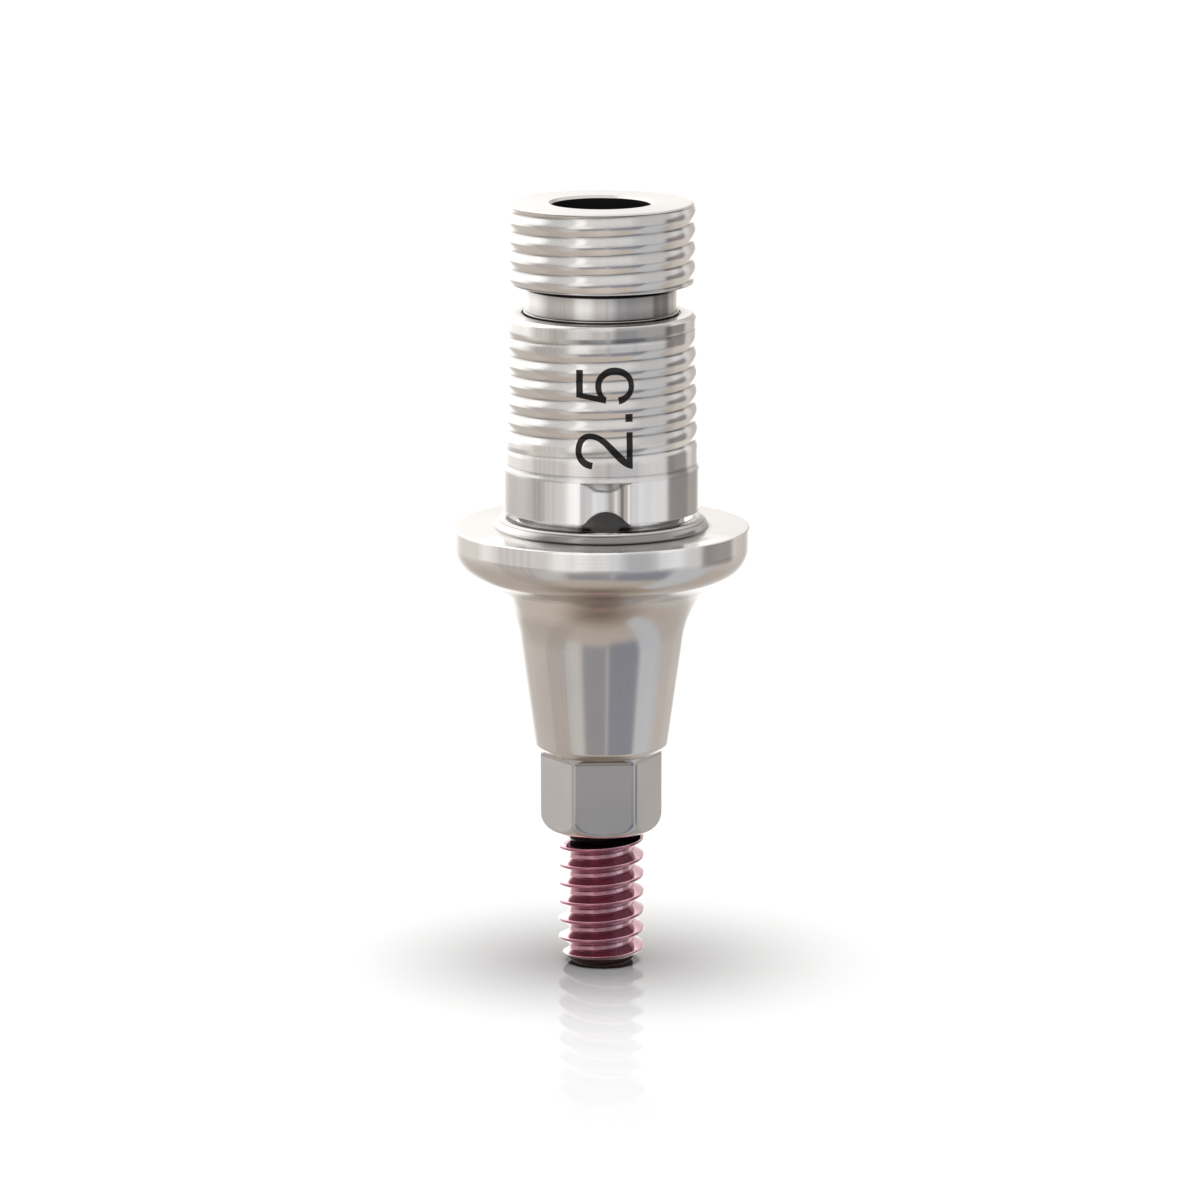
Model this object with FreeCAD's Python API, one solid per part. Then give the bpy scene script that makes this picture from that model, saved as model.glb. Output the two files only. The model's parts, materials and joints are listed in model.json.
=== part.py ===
import FreeCAD, Part
import math
import os
from FreeCAD import Vector

# Dental abutment with its clamping screw, in millimetres.
# The origin is on the axis at the implant platform, where the cone enters the implant.
# +Z runs up the axis through the flange and the chimney, and the flute faces -Y.

# Cone and hexagon that sit in the implant
PLATFORM_DIAMETER = 2.97
CONE_HALF_ANGLE = 8.05
CONE_DEPTH = 1.63
CONE_END_CHAMFER = 0.12
HEX_ACROSS_FLATS = 2.0
HEX_STOCK_DIAMETER = 2.27
HEX_LENGTH = 1.55
HEX_FLAT_FILLET = 0.12
HEX_END_ROUND = 0.33

# Cuff that flares from the cone to the flange the crown stands on
CUFF_HEIGHT = 2.5
FLANGE_DIAMETER = 5.52
FLANGE_RIM_HEIGHT = 0.37
FLANGE_EDGE_CHAMFER = 0.03
LIP_RADIUS = 0.58
FLARE_RADIUS = 1.635

# Bead on the flange and the undercut waist behind it
BEAD_OUTER_DIAMETER = 3.974
BEAD_RADIUS = 0.21
BEAD_INNER_DROP = 0.10
WAIST_DIAMETER = 3.08
UNDERCUT_ANGLE = 43.6

# Guide band of the chimney, and the flute that stops the crown turning
BAND_DIAMETER = 3.65
BAND_BOTTOM = 0.32
BAND_HEIGHT = 0.80
BAND_STEP_HEIGHT = 0.08
FLUTE_DEPTH = 0.23
FLUTE_FLOOR_RADIUS = 0.55
FLUTE_SHOULDER_RADIUS = 0.15
FLUTE_CEILING_ANGLE = 40.0

# Lower chimney, tapered, with one turned groove that holds the cement
LAND_BOTTOM_DIAMETER = 3.60
LAND_TOP_DIAMETER = 3.51
SHOULDER_HEIGHT = 4.01
SHOULDER_EDGE = 0.07
GROOVE_PITCH = 0.35
GROOVE_DEPTH = 0.06
GROOVE_WIDTH = 0.23
GROOVE_START = 1.67
GROOVE_TURNS = 5.0
GROOVE_RUN_IN_TURNS = 0.5
GROOVE_RUN_OUT_TURNS = 1.0

# Neck where the chimney can be shortened, and the grooved upper length
NECK_DIAMETER = 2.82
NECK_LENGTH = 0.55
UPPER_DIAMETER = 3.50
UPPER_LENGTH = 1.50
UPPER_EDGE = 0.06
UPPER_GROOVE_FIRST = 0.12
UPPER_GROOVE_DEPTH = 0.06
UPPER_GROOVE_WIDTH = 0.25

# Screw channel and the seat of the screw
CHANNEL_DIAMETER = 1.84
CHANNEL_MOUTH_CHAMFER = 0.05
SCREW_SEAT_HEIGHT = 0.30
SCREW_SEAT_ANGLE = 45.0
POCKET_DIAMETER_AT_SEAT = 1.80
POCKET_LENGTH = 2.20
THROUGH_HOLE_CLEARANCE = 0.03

# Clamping screw
THREAD_DIAMETER = 1.60
THREAD_PITCH = 0.35
THREAD_ROOT_DIAMETER = 1.19
THREAD_CREST_FLAT = 0.045
THREAD_ROOT_FLAT = 0.09
THREAD_LENGTH = 2.75
THREAD_PHASE = 0.12
SCREW_TIP_DEPTH = 2.53
SCREW_TIP_CHAMFER = 0.26
SHANK_DIAMETER = 1.20
HEAD_CLEARANCE = 0.03
SEAT_CLEARANCE = 0.02
HEAD_LENGTH = 1.95
HEAD_EDGE = 0.06
SOCKET_ACROSS_FLATS = 1.22
SOCKET_DEPTH = 1.20
SOCKET_CONE_ANGLE = 118.0

ORIGIN = Vector(0, 0, 0)
UP = Vector(0, 0, 1)

PLATFORM_R = PLATFORM_DIAMETER / 2
HEX_STOCK_R = HEX_STOCK_DIAMETER / 2
FLANGE_R = FLANGE_DIAMETER / 2
BEAD_OUTER_R = BEAD_OUTER_DIAMETER / 2
WAIST_R = WAIST_DIAMETER / 2
BAND_R = BAND_DIAMETER / 2
LAND_BOTTOM_R = LAND_BOTTOM_DIAMETER / 2
LAND_TOP_R = LAND_TOP_DIAMETER / 2
NECK_R = NECK_DIAMETER / 2
UPPER_R = UPPER_DIAMETER / 2
CHANNEL_R = CHANNEL_DIAMETER / 2
POCKET_R = POCKET_DIAMETER_AT_SEAT / 2
THREAD_R = THREAD_DIAMETER / 2
THREAD_ROOT_R = THREAD_ROOT_DIAMETER / 2
SHANK_R = SHANK_DIAMETER / 2
THROUGH_R = THREAD_R + THROUGH_HOLE_CLEARANCE
HEAD_R = POCKET_R - HEAD_CLEARANCE

# Heights along the axis, all measured from the platform
CONE_END_Z = -CONE_DEPTH - CONE_END_CHAMFER
HEX_BOTTOM_Z = CONE_END_Z - HEX_LENGTH
FLANGE_TOP_Z = CUFF_HEIGHT
BAND_BOTTOM_Z = FLANGE_TOP_Z + BAND_BOTTOM
BAND_TOP_Z = BAND_BOTTOM_Z + BAND_HEIGHT
LAND_BOTTOM_Z = BAND_TOP_Z + BAND_STEP_HEIGHT
SHOULDER_Z = FLANGE_TOP_Z + SHOULDER_HEIGHT
UPPER_BOTTOM_Z = SHOULDER_Z + NECK_LENGTH
TOP_Z = UPPER_BOTTOM_Z + UPPER_LENGTH
POCKET_TOP_Z = SCREW_SEAT_HEIGHT + POCKET_LENGTH
SCREW_TIP_Z = HEX_BOTTOM_Z - SCREW_TIP_DEPTH

CUTTER_MARGIN = 0.1


def tangent(degrees):
    return math.tan(math.radians(degrees))


def point(radius, z):
    """Point of a turned profile, drawn in the XZ plane."""
    return Vector(radius, 0, z)


def line(start, end):
    return Part.makeLine(point(*start), point(*end))


def arc(centre, radius, first_angle, last_angle):
    """Arc of a profile between two angles in degrees, counted from the radius direction towards up."""
    middle_angle = (first_angle + last_angle) / 2
    on_arc = []
    for angle in (first_angle, middle_angle, last_angle):
        turn = math.radians(angle)
        on_arc.append(point(centre[0] + radius * math.cos(turn), centre[1] + radius * math.sin(turn)))
    return Part.Arc(*on_arc).toShape()


def turned(edges):
    """Solid of revolution from a closed profile that touches or surrounds the axis."""
    wire = Part.Wire(edges)
    return Part.Face(wire).revolve(ORIGIN, UP, 360)


def closed_section(corners):
    """Closed wire of straight lines through the given (radius, z) corners."""
    return Part.Wire([line(a, b) for a, b in zip(corners, corners[1:] + corners[:1])])


def polygon_turned(corners):
    """Solid of revolution from straight profile lines through the given (radius, z) corners."""
    return turned(closed_section(corners).Edges)


def cone_radius(z):
    """Radius of the connection cone at a height."""
    return PLATFORM_R + z * tangent(CONE_HALF_ANGLE)


def land_radius(z):
    """Radius of the tapered lower chimney at a height."""
    share = (z - LAND_BOTTOM_Z) / (SHOULDER_Z - LAND_BOTTOM_Z)
    return LAND_BOTTOM_R + (LAND_TOP_R - LAND_BOTTOM_R) * share


def flare_edges():
    """Cone, concave flare, convex lip and rim, each tangent to the next, from the cone's end upwards."""
    lip_centre = (FLANGE_R - LIP_RADIUS, FLANGE_TOP_Z - FLANGE_RIM_HEIGHT)
    slope = math.radians(CONE_HALF_ANGLE)
    # The flare's centre is one radius outside the cone's line and touches the lip circle from outside.
    outward = (math.cos(slope), -math.sin(slope))
    along = (math.sin(slope), math.cos(slope))
    base = (PLATFORM_R + outward[0] * FLARE_RADIUS, outward[1] * FLARE_RADIUS)
    gap = (base[0] - lip_centre[0], base[1] - lip_centre[1])
    half_b = gap[0] * along[0] + gap[1] * along[1]
    c = gap[0] ** 2 + gap[1] ** 2 - (FLARE_RADIUS + LIP_RADIUS) ** 2
    travel = -half_b - math.sqrt(half_b ** 2 - c)
    flare_centre = (base[0] + along[0] * travel, base[1] + along[1] * travel)
    cone_end = (flare_centre[0] - outward[0] * FLARE_RADIUS, flare_centre[1] - outward[1] * FLARE_RADIUS)
    to_flare = math.degrees(math.atan2(flare_centre[1] - lip_centre[1], flare_centre[0] - lip_centre[0]))
    lower_z = -CONE_DEPTH
    return [
        line((HEX_STOCK_R, CONE_END_Z), (cone_radius(lower_z), lower_z)),
        line((cone_radius(lower_z), lower_z), cone_end),
        arc(flare_centre, FLARE_RADIUS, 180 - CONE_HALF_ANGLE, 180 + to_flare),
        arc(lip_centre, LIP_RADIUS, to_flare, 0),
        line((FLANGE_R, lip_centre[1]), (FLANGE_R, FLANGE_TOP_Z - FLANGE_EDGE_CHAMFER)),
        line((FLANGE_R, FLANGE_TOP_Z - FLANGE_EDGE_CHAMFER), (FLANGE_R - FLANGE_EDGE_CHAMFER, FLANGE_TOP_Z)),
    ]


def chimney_edges():
    """Flange top, bead, undercut waist, band, tapered chimney, neck and upper length, up to the axis."""
    bead_centre_r = BEAD_OUTER_R - BEAD_RADIUS
    bead_top_z = FLANGE_TOP_Z + BEAD_RADIUS
    undercut_top_z = BAND_BOTTOM_Z + (BAND_R - WAIST_R) * tangent(UNDERCUT_ANGLE)
    corners = [
        (bead_centre_r, bead_top_z),
        (WAIST_R, bead_top_z - BEAD_INNER_DROP),
        (WAIST_R, undercut_top_z),
        (BAND_R, BAND_BOTTOM_Z),
        (BAND_R, BAND_TOP_Z),
        (LAND_BOTTOM_R, LAND_BOTTOM_Z),
        (land_radius(SHOULDER_Z - SHOULDER_EDGE), SHOULDER_Z - SHOULDER_EDGE),
        (LAND_TOP_R - SHOULDER_EDGE, SHOULDER_Z),
        (NECK_R, SHOULDER_Z),
        (NECK_R, UPPER_BOTTOM_Z),
        (UPPER_R - UPPER_EDGE, UPPER_BOTTOM_Z),
        (UPPER_R, UPPER_BOTTOM_Z + UPPER_EDGE),
        (UPPER_R, TOP_Z - UPPER_EDGE),
        (UPPER_R - UPPER_EDGE, TOP_Z),
        (0, TOP_Z),
    ]
    edges = [
        line((FLANGE_R - FLANGE_EDGE_CHAMFER, FLANGE_TOP_Z), (BEAD_OUTER_R, FLANGE_TOP_Z)),
        arc((bead_centre_r, FLANGE_TOP_Z), BEAD_RADIUS, 0, 90),
    ]
    return edges + [line(a, b) for a, b in zip(corners, corners[1:])]


def turned_blank():
    """The whole outside of the abutment as it comes off the lathe, before any milling."""
    end_r = HEX_STOCK_R - HEX_END_ROUND
    end_z = HEX_BOTTOM_Z + HEX_END_ROUND
    # Two chamfers follow the end round.
    half_way = HEX_END_ROUND * math.cos(math.radians(45))
    corners = [
        (0, TOP_Z),
        (0, HEX_BOTTOM_Z),
        (end_r, HEX_BOTTOM_Z),
        (end_r + half_way, end_z - half_way),
        (HEX_STOCK_R, end_z),
        (HEX_STOCK_R, CONE_END_Z),
    ]
    foot = [line(a, b) for a, b in zip(corners, corners[1:])]
    return turned(foot + flare_edges() + chimney_edges())


def screw_channel():
    """Bore from the top, pocket that narrows to the screw head's conical seat, and hole for its thread."""
    seat_drop = (POCKET_R - THROUGH_R) * tangent(SCREW_SEAT_ANGLE)
    return polygon_turned([
        (0, HEX_BOTTOM_Z - CUTTER_MARGIN),
        (THROUGH_R, HEX_BOTTOM_Z - CUTTER_MARGIN),
        (THROUGH_R, SCREW_SEAT_HEIGHT - seat_drop),
        (POCKET_R, SCREW_SEAT_HEIGHT),
        (CHANNEL_R, POCKET_TOP_Z),
        (CHANNEL_R, TOP_Z - CHANNEL_MOUTH_CHAMFER),
        (CHANNEL_R + CHANNEL_MOUTH_CHAMFER + CUTTER_MARGIN, TOP_Z + CUTTER_MARGIN),
        (0, TOP_Z + CUTTER_MARGIN),
    ])


def flat_cutter():
    """Tool path that mills one flat of the hexagon, facing -Y, with the tool's corner radius at its top."""
    flat = HEX_ACROSS_FLATS / 2
    outside = HEX_STOCK_R + HEX_FLAT_FILLET + CUTTER_MARGIN
    below = HEX_BOTTOM_Z - CUTTER_MARGIN
    fillet_z = CONE_END_Z - HEX_FLAT_FILLET
    profile = Part.Wire([
        line((flat, below), (flat, fillet_z)),
        arc((flat + HEX_FLAT_FILLET, fillet_z), HEX_FLAT_FILLET, 180, 90),
        line((flat + HEX_FLAT_FILLET, CONE_END_Z), (outside, CONE_END_Z)),
        line((outside, CONE_END_Z), (outside, below)),
        line((outside, below), (flat, below)),
    ])
    cutter = Part.Face(profile).extrude(Vector(0, HEX_STOCK_DIAMETER, 0))
    cutter.translate(Vector(0, -HEX_STOCK_R, 0))
    cutter.rotate(ORIGIN, UP, -90)
    return cutter


def hexagon_cutters():
    cutters = []
    for side in range(6):
        cutter = flat_cutter()
        cutter.rotate(ORIGIN, UP, side * 60)
        cutters.append(cutter)
    return cutters


def flute_cutter():
    """Cutter for the flute: a concave floor between two rounded shoulders, under a slanted ceiling."""
    floor_centre = BAND_R - FLUTE_DEPTH + FLUTE_FLOOR_RADIUS
    shoulder_centre = BAND_R - FLUTE_SHOULDER_RADIUS
    between = FLUTE_FLOOR_RADIUS + FLUTE_SHOULDER_RADIUS
    cosine = (shoulder_centre ** 2 + floor_centre ** 2 - between ** 2) / (2 * shoulder_centre * floor_centre)
    shoulder_angle = math.acos(cosine)

    def on_plan(radius, angle):
        return Vector(radius * math.sin(angle), -radius * math.cos(angle), 0)

    def toward(start, end, distance):
        direction = end.sub(start)
        direction.normalize()
        return start.add(direction.multiply(distance))

    floor_middle = on_plan(floor_centre, 0)
    outside = BAND_R + CUTTER_MARGIN
    sides = []
    for angle in (-shoulder_angle, shoulder_angle):
        centre = on_plan(shoulder_centre, angle)
        outer = on_plan(BAND_R, angle)
        inner = toward(centre, floor_middle, FLUTE_SHOULDER_RADIUS)
        middle_way = outer.add(inner).multiply(0.5)
        middle = toward(centre, middle_way, FLUTE_SHOULDER_RADIUS)
        sides.append((outer, middle, inner, on_plan(outside, angle)))
    left, right = sides
    plan = Part.Wire([
        Part.makeLine(left[3], left[0]),
        Part.Arc(left[0], left[1], left[2]).toShape(),
        Part.Arc(left[2], on_plan(BAND_R - FLUTE_DEPTH, 0), right[2]).toShape(),
        Part.Arc(right[2], right[1], right[0]).toShape(),
        Part.makeLine(right[0], right[3]),
        Part.Arc(right[3], on_plan(outside, 0), left[3]).toShape(),
    ])
    bottom = BAND_BOTTOM_Z - CUTTER_MARGIN
    prism = Part.Face(plan).extrude(Vector(0, 0, BAND_HEIGHT * 2))
    prism.translate(Vector(0, 0, bottom))
    rise = tangent(FLUTE_CEILING_ANGLE)
    inner_r = WAIST_R - CUTTER_MARGIN
    outer_r = outside + CUTTER_MARGIN
    room = polygon_turned([
        (inner_r, bottom),
        (outer_r, bottom),
        (outer_r, BAND_TOP_Z + (outer_r - BAND_R) * rise),
        (inner_r, BAND_TOP_Z + (inner_r - BAND_R) * rise),
    ])
    return prism.common(room)


def helix(pitch, start_z, turns, start_radius, end_radius):
    """Right-hand helix that starts on the +X side and climbs, on a cylinder or a slight cone."""
    height = pitch * turns
    taper = math.degrees(math.atan2(end_radius - start_radius, height))
    path = Part.makeLongHelix(pitch, height, start_radius, taper, False)
    path.translate(Vector(0, 0, start_z))
    return path


def descending_helix(pitch, start_z, turns, start_radius, end_radius):
    """The same right-hand helix, followed downwards from its start on the +X side."""
    path = helix(pitch, 0, turns, start_radius, end_radius)
    path.rotate(ORIGIN, Vector(1, 0, 0), 180)
    path.translate(Vector(0, 0, start_z))
    return path


def swept_groove(path_edges, section):
    """Solid left by a section that follows the path and keeps its height along the axis."""
    path = Part.Wire(Part.__sortEdges__(path_edges))
    ends = sorted((vertex.Point for vertex in path.OrderedVertexes), key=lambda end: end.z)
    start = ends[0]
    wire = section.copy()
    wire.rotate(ORIGIN, UP, math.degrees(math.atan2(start.y, start.x)))
    wire.translate(start)
    sweep = Part.BRepOffsetAPI.MakePipeShell(path)
    sweep.setBiNormalMode(UP)
    sweep.add(wire, False, False)
    sweep.build()
    sweep.makeSolid()
    return sweep.shape()


def groove_section(depth, mouth):
    """Shallow V groove, measured from the surface it is cut in."""
    half_mouth = mouth / 2
    margin = (GROOVE_PITCH - mouth) / 4 * depth / half_mouth
    half_outside = half_mouth * (depth + margin) / depth
    return closed_section([(-depth, 0), (margin, -half_outside), (margin, half_outside)])


def lower_groove():
    """Groove of the lower chimney, which rises out of the surface at both ends."""
    start_z = FLANGE_TOP_Z + GROOVE_START
    end_z = start_z + GROOVE_PITCH * GROOVE_TURNS
    start_r = land_radius(start_z)
    end_r = land_radius(end_z)
    clear = GROOVE_DEPTH * 1.1
    main = helix(GROOVE_PITCH, start_z, GROOVE_TURNS, start_r, end_r)
    run_in = descending_helix(GROOVE_PITCH, start_z, GROOVE_RUN_IN_TURNS, start_r, start_r + clear)
    run_out = helix(GROOVE_PITCH, end_z, GROOVE_RUN_OUT_TURNS, end_r, end_r + clear)
    run_out.rotate(ORIGIN, UP, (GROOVE_TURNS % 1) * 360)
    edges = run_in.Edges + main.Edges + run_out.Edges
    return swept_groove(edges, groove_section(GROOVE_DEPTH, GROOVE_WIDTH))


def upper_groove():
    """Groove of the upper length, cut right through both of its ends."""
    start_z = UPPER_BOTTOM_Z + UPPER_GROOVE_FIRST - GROOVE_PITCH
    turns = math.ceil(UPPER_LENGTH / GROOVE_PITCH) + 1
    path = helix(GROOVE_PITCH, start_z, turns, UPPER_R, UPPER_R)
    return swept_groove(path.Edges, groove_section(UPPER_GROOVE_DEPTH, UPPER_GROOVE_WIDTH))


def abutment_body():
    body = turned_blank()
    body = body.cut(lower_groove())
    body = body.cut(upper_groove())
    body = body.cut(flute_cutter())
    for cutter in hexagon_cutters():
        body = body.cut(cutter)
    return body.cut(screw_channel())


def thread_section():
    """V groove between two crests of the thread, measured from the crest."""
    depth = THREAD_R - THREAD_ROOT_R
    half_root = THREAD_ROOT_FLAT / 2
    half_mouth = (THREAD_PITCH - THREAD_CREST_FLAT) / 2
    flank = (half_mouth - half_root) / depth
    margin = THREAD_CREST_FLAT / 2
    half_outside = half_mouth + margin * flank
    corners = [(-depth, -half_root), (margin, -half_outside), (margin, half_outside), (-depth, half_root)]
    return closed_section(corners)


def driver_socket(head_top_z):
    """Hexagonal driver socket, drilled first, so its floor is a shallow cone."""
    corner = SOCKET_ACROSS_FLATS / math.sqrt(3)
    corners = []
    for side in range(7):
        turn = math.radians(60 * side)
        corners.append(Vector(corner * math.cos(turn), corner * math.sin(turn), head_top_z - SOCKET_DEPTH))
    prism = Part.Face(Part.makePolygon(corners)).extrude(Vector(0, 0, SOCKET_DEPTH + CUTTER_MARGIN))
    drill_r = SOCKET_ACROSS_FLATS / 2
    drill_tip = drill_r / tangent(SOCKET_CONE_ANGLE / 2)
    drill = Part.makeCone(0, drill_r, drill_tip, Vector(0, 0, head_top_z - SOCKET_DEPTH - drill_tip))
    return prism.fuse(drill)


def abutment_screw():
    """Screw whose conical shoulder rests in the seat, with a thin shank and a full thread below it."""
    thread_top_z = SCREW_TIP_Z + THREAD_LENGTH
    # Lifted straight up by this much, the head's cone clears the seat by the seat clearance all over.
    lift = SEAT_CLEARANCE / math.cos(math.radians(SCREW_SEAT_ANGLE))
    seat_slope = tangent(SCREW_SEAT_ANGLE)
    head_bottom_z = SCREW_SEAT_HEIGHT + lift - (POCKET_R - HEAD_R) * seat_slope
    head_top_z = head_bottom_z + HEAD_LENGTH
    shank_top_z = head_bottom_z - (HEAD_R - SHANK_R) * seat_slope
    runout = THREAD_R - SHANK_R
    blank = turned([
        line((0, SCREW_TIP_Z), (THREAD_R - SCREW_TIP_CHAMFER, SCREW_TIP_Z)),
        line((THREAD_R - SCREW_TIP_CHAMFER, SCREW_TIP_Z), (THREAD_R, SCREW_TIP_Z + SCREW_TIP_CHAMFER)),
        line((THREAD_R, SCREW_TIP_Z + SCREW_TIP_CHAMFER), (THREAD_R, thread_top_z - runout)),
        line((THREAD_R, thread_top_z - runout), (SHANK_R, thread_top_z)),
        line((SHANK_R, thread_top_z), (SHANK_R, shank_top_z)),
        line((SHANK_R, shank_top_z), (HEAD_R, head_bottom_z)),
        line((HEAD_R, head_bottom_z), (HEAD_R, head_top_z - HEAD_EDGE)),
        line((HEAD_R, head_top_z - HEAD_EDGE), (HEAD_R - HEAD_EDGE, head_top_z)),
        line((HEAD_R - HEAD_EDGE, head_top_z), (0, head_top_z)),
        line((0, head_top_z), (0, SCREW_TIP_Z)),
    ])
    turns = math.ceil(THREAD_LENGTH / THREAD_PITCH) + 1
    start_z = SCREW_TIP_Z + THREAD_PHASE - THREAD_PITCH
    path = helix(THREAD_PITCH, start_z, turns, THREAD_R, THREAD_R)
    screw = blank.cut(swept_groove(path.Edges, thread_section()))
    return screw.cut(driver_socket(head_top_z))


def write_parts():
    os.makedirs("parts", exist_ok=True)
    for name, build in (("abutment_body", abutment_body), ("abutment_screw", abutment_screw)):
        shape = build()
        print(name, "valid", shape.isValid(), "solids", len(shape.Solids), "volume", round(shape.Volume, 4),
              "faces", len(shape.Faces))
        shape.exportStep(f"parts/{name}.step")


write_parts()
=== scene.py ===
import json
import math

import bmesh
import bpy
import numpy as np
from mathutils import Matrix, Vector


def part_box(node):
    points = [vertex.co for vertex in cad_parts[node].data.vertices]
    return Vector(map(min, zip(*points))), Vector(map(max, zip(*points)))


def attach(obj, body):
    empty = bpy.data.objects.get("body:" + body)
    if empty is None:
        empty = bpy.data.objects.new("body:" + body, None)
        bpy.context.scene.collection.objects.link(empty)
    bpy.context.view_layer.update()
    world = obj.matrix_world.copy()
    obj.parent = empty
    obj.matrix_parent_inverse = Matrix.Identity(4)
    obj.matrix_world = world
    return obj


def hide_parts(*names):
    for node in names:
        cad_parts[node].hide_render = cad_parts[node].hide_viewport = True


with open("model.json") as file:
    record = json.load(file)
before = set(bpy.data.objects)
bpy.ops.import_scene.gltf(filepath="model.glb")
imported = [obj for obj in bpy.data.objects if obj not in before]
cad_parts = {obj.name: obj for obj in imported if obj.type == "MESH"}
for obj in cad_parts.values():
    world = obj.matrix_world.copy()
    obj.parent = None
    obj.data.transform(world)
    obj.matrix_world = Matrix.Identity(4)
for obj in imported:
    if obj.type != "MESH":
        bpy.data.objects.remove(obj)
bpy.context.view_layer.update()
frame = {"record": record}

# Lengths are in millimetres and turn into metres in the meshes. Angles round the axis are in degrees from +X,
# and the flute lies at FRONT.
MM = 0.001
FRONT = -90
PHOTO_SIZE = 1200

# The frame gives the outer sizes and the mounts
BODY_NODE = "abutment_body"
SCREW_NODE = "abutment_screw"
body_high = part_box(BODY_NODE)[1]
screw_low, screw_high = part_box(SCREW_NODE)
mounts = {mount["name"]: mount for mount in frame["record"]["mounts"]}
band_mount = mounts["chimney_band"]

# Connection cone and hexagon
PLATFORM_R = 1.485
CONE_SLOPE = math.tan(math.radians(8.05))
CONE_BOTTOM_Z = -1.63
CONE_EDGE = 0.03
CONE_END_Z = -1.75
HEX_SIDES = 6
HEX_FLAT_R = 1.0
HEX_CORNER_R = 1.135
HEX_CORNER_SOFT = 0.012
HEX_BOTTOM_Z = -3.30
HEX_END_ROUND = 0.33
HEX_FLAT_FILLET = 0.12
HEX_FILLET_GAP = 0.004

# Cuff and flange
FLANGE_R = body_high[0] / MM
FLANGE_TOP_Z = mounts["crown_seat"]["pos_m"][2] / MM
FLANGE_EDGE = 0.035
RIM_HEIGHT = 0.37
RIM_SHINE = 0.335
RIM_LINE_HALF = 0.015
LIP_RADIUS = 0.58
FLARE_RADIUS = 1.635

# Bead, waist, band and flute. The bead's foot is counted out from the bead and up from the flange.
BEAD_OUTER_R = 1.987
BEAD_RADIUS = 0.21
BEAD_FOOT = ((0.03, 0), (0.008, 0.008))
BEAD_INNER_DROP = 0.10
BEAD_CREASE = 0.012
BEAD_CREASE_DEGREES = 46
BEAD_CREASE_WIDTH = 5
WAIST_R = 1.54
UNDERCUT_RISE = math.tan(math.radians(43.6))
BAND_R = band_mount["dims"]["r_mm"]
BAND_TOP_Z = band_mount["pos_m"][2] / MM
BAND_BOTTOM_Z = BAND_TOP_Z - band_mount["dims"]["length_mm"]
FLUTE_DEPTH = 0.23
FLUTE_FLOOR_RADIUS = 0.55
FLUTE_SHOULDER_RADIUS = 0.15
CEILING_RISE = math.tan(math.radians(40))
CEILING_SOFT = 0.02

# Grooved chimney
LAND_BOTTOM_Z = BAND_TOP_Z + 0.08
LAND_BOTTOM_R = 1.80
LAND_TOP_R = 1.755
SHOULDER_Z = 6.51
SHOULDER_EDGE = 0.07
GROOVE_PITCH = 0.35
GROOVE_DEPTH = 0.06
GROOVE_HALF_WIDTH = 0.115
GROOVE_FLOOR_SOFT = 0.02
GROOVE_CREST_SOFT = 0.03
GROOVE_START_Z = 4.17
GROOVE_TURNS = 5.0
GROOVE_FADE = 1.1
GROOVE_RUN_IN_TURNS = 0.5

# Neck, with a small moat and fillet at its foot, and upper length
NECK_R = 1.41
NECK_FOOT_R = NECK_R + 0.03
MOAT_R = NECK_R + 0.07
MOAT_DEPTH = 0.04
UPPER_BOTTOM_Z = 7.06
UPPER_R = 1.75
UPPER_EDGE = 0.06
UPPER_EDGE_SOFT = 0.01
UPPER_GROOVE_Z = UPPER_BOTTOM_Z + 0.12
UPPER_GROOVE_HALF_WIDTH = 0.125
TOP_Z = body_high[2] / MM

# Channel
CHANNEL_R = mounts["screw_channel"]["dims"]["r_mm"]
MOUTH_CHAMFER = 0.05
POCKET_TOP_Z = 2.5
POCKET_R = 0.90
SEAT_Z = 0.30
THROUGH_R = 0.83

# Clamping screw
SCREW_TIP_Z = screw_low[2] / MM
SCREW_TOP_Z = screw_high[2] / MM
THREAD_R = 0.80
THREAD_ROOT_R = 0.595
THREAD_PITCH = 0.35
THREAD_CREST_FLAT = 0.045
THREAD_ROOT_FLAT = 0.09
THREAD_CREST_SOFT = 0.008
THREAD_ROOT_SOFT = 0.02
THREAD_BLANK_SOFT = 0.01
THREAD_TOP_Z = SCREW_TIP_Z + 2.75
THREAD_VALLEY_Z = SCREW_TIP_Z + 0.12
TIP_CHAMFER = 0.26
TIP_FLAT_R = 0.2
SHANK_R = 0.60
HEAD_R = 0.87
HEAD_BOTTOM_Z = SCREW_TOP_Z - 1.95
HEAD_EDGE = 0.06
SOCKET_FLAT_R = 0.61
SOCKET_FLOOR_Z = SCREW_TOP_Z - 1.20
SOCKET_TIP_DEPTH = SOCKET_FLAT_R / math.tan(math.radians(59))
SOCKET_END_Z = SOCKET_FLOOR_Z - SOCKET_TIP_DEPTH - 0.03

# Fineness of the meshes: steps in millimetres, counts of steps along a curve, and rings on plain stretches
ROW_STEP = 0.02
CONE_STEP = 0.4
THREAD_STEP = 0.0085
EDGE_STEPS = 3
WIDE_EDGE_STEPS = 4
FINE_EDGE = 0.02
LONGEST_EDGE_SHARE = 0.45
HEX_ROUND_STEPS = 10
HEX_FILLET_STEPS = 8
FLARE_STEPS = 26
LIP_STEPS = 16
CEILING_STEPS = 12
BEAD_DEGREES = range(10, 91, 4)
HEX_WALL_SHARES = (0.33, 0.67)
FLANGE_TOP_RINGS = (0.60, 0.50, 0.40, 0.30, 0.22, 0.12, 0)
WAIST_RINGS = (0.05, 0.09, 0.13)
NECK_LOW_RINGS = (0.10, 0.15, 0.20, 0.25)
NECK_HIGH_RINGS = (0.25, 0.20, 0.15, 0.105, 0.085)
BODY_DEGREES = 1.8
FLUTE_DEGREES = 0.8
FLUTE_SPAN = 19
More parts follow.
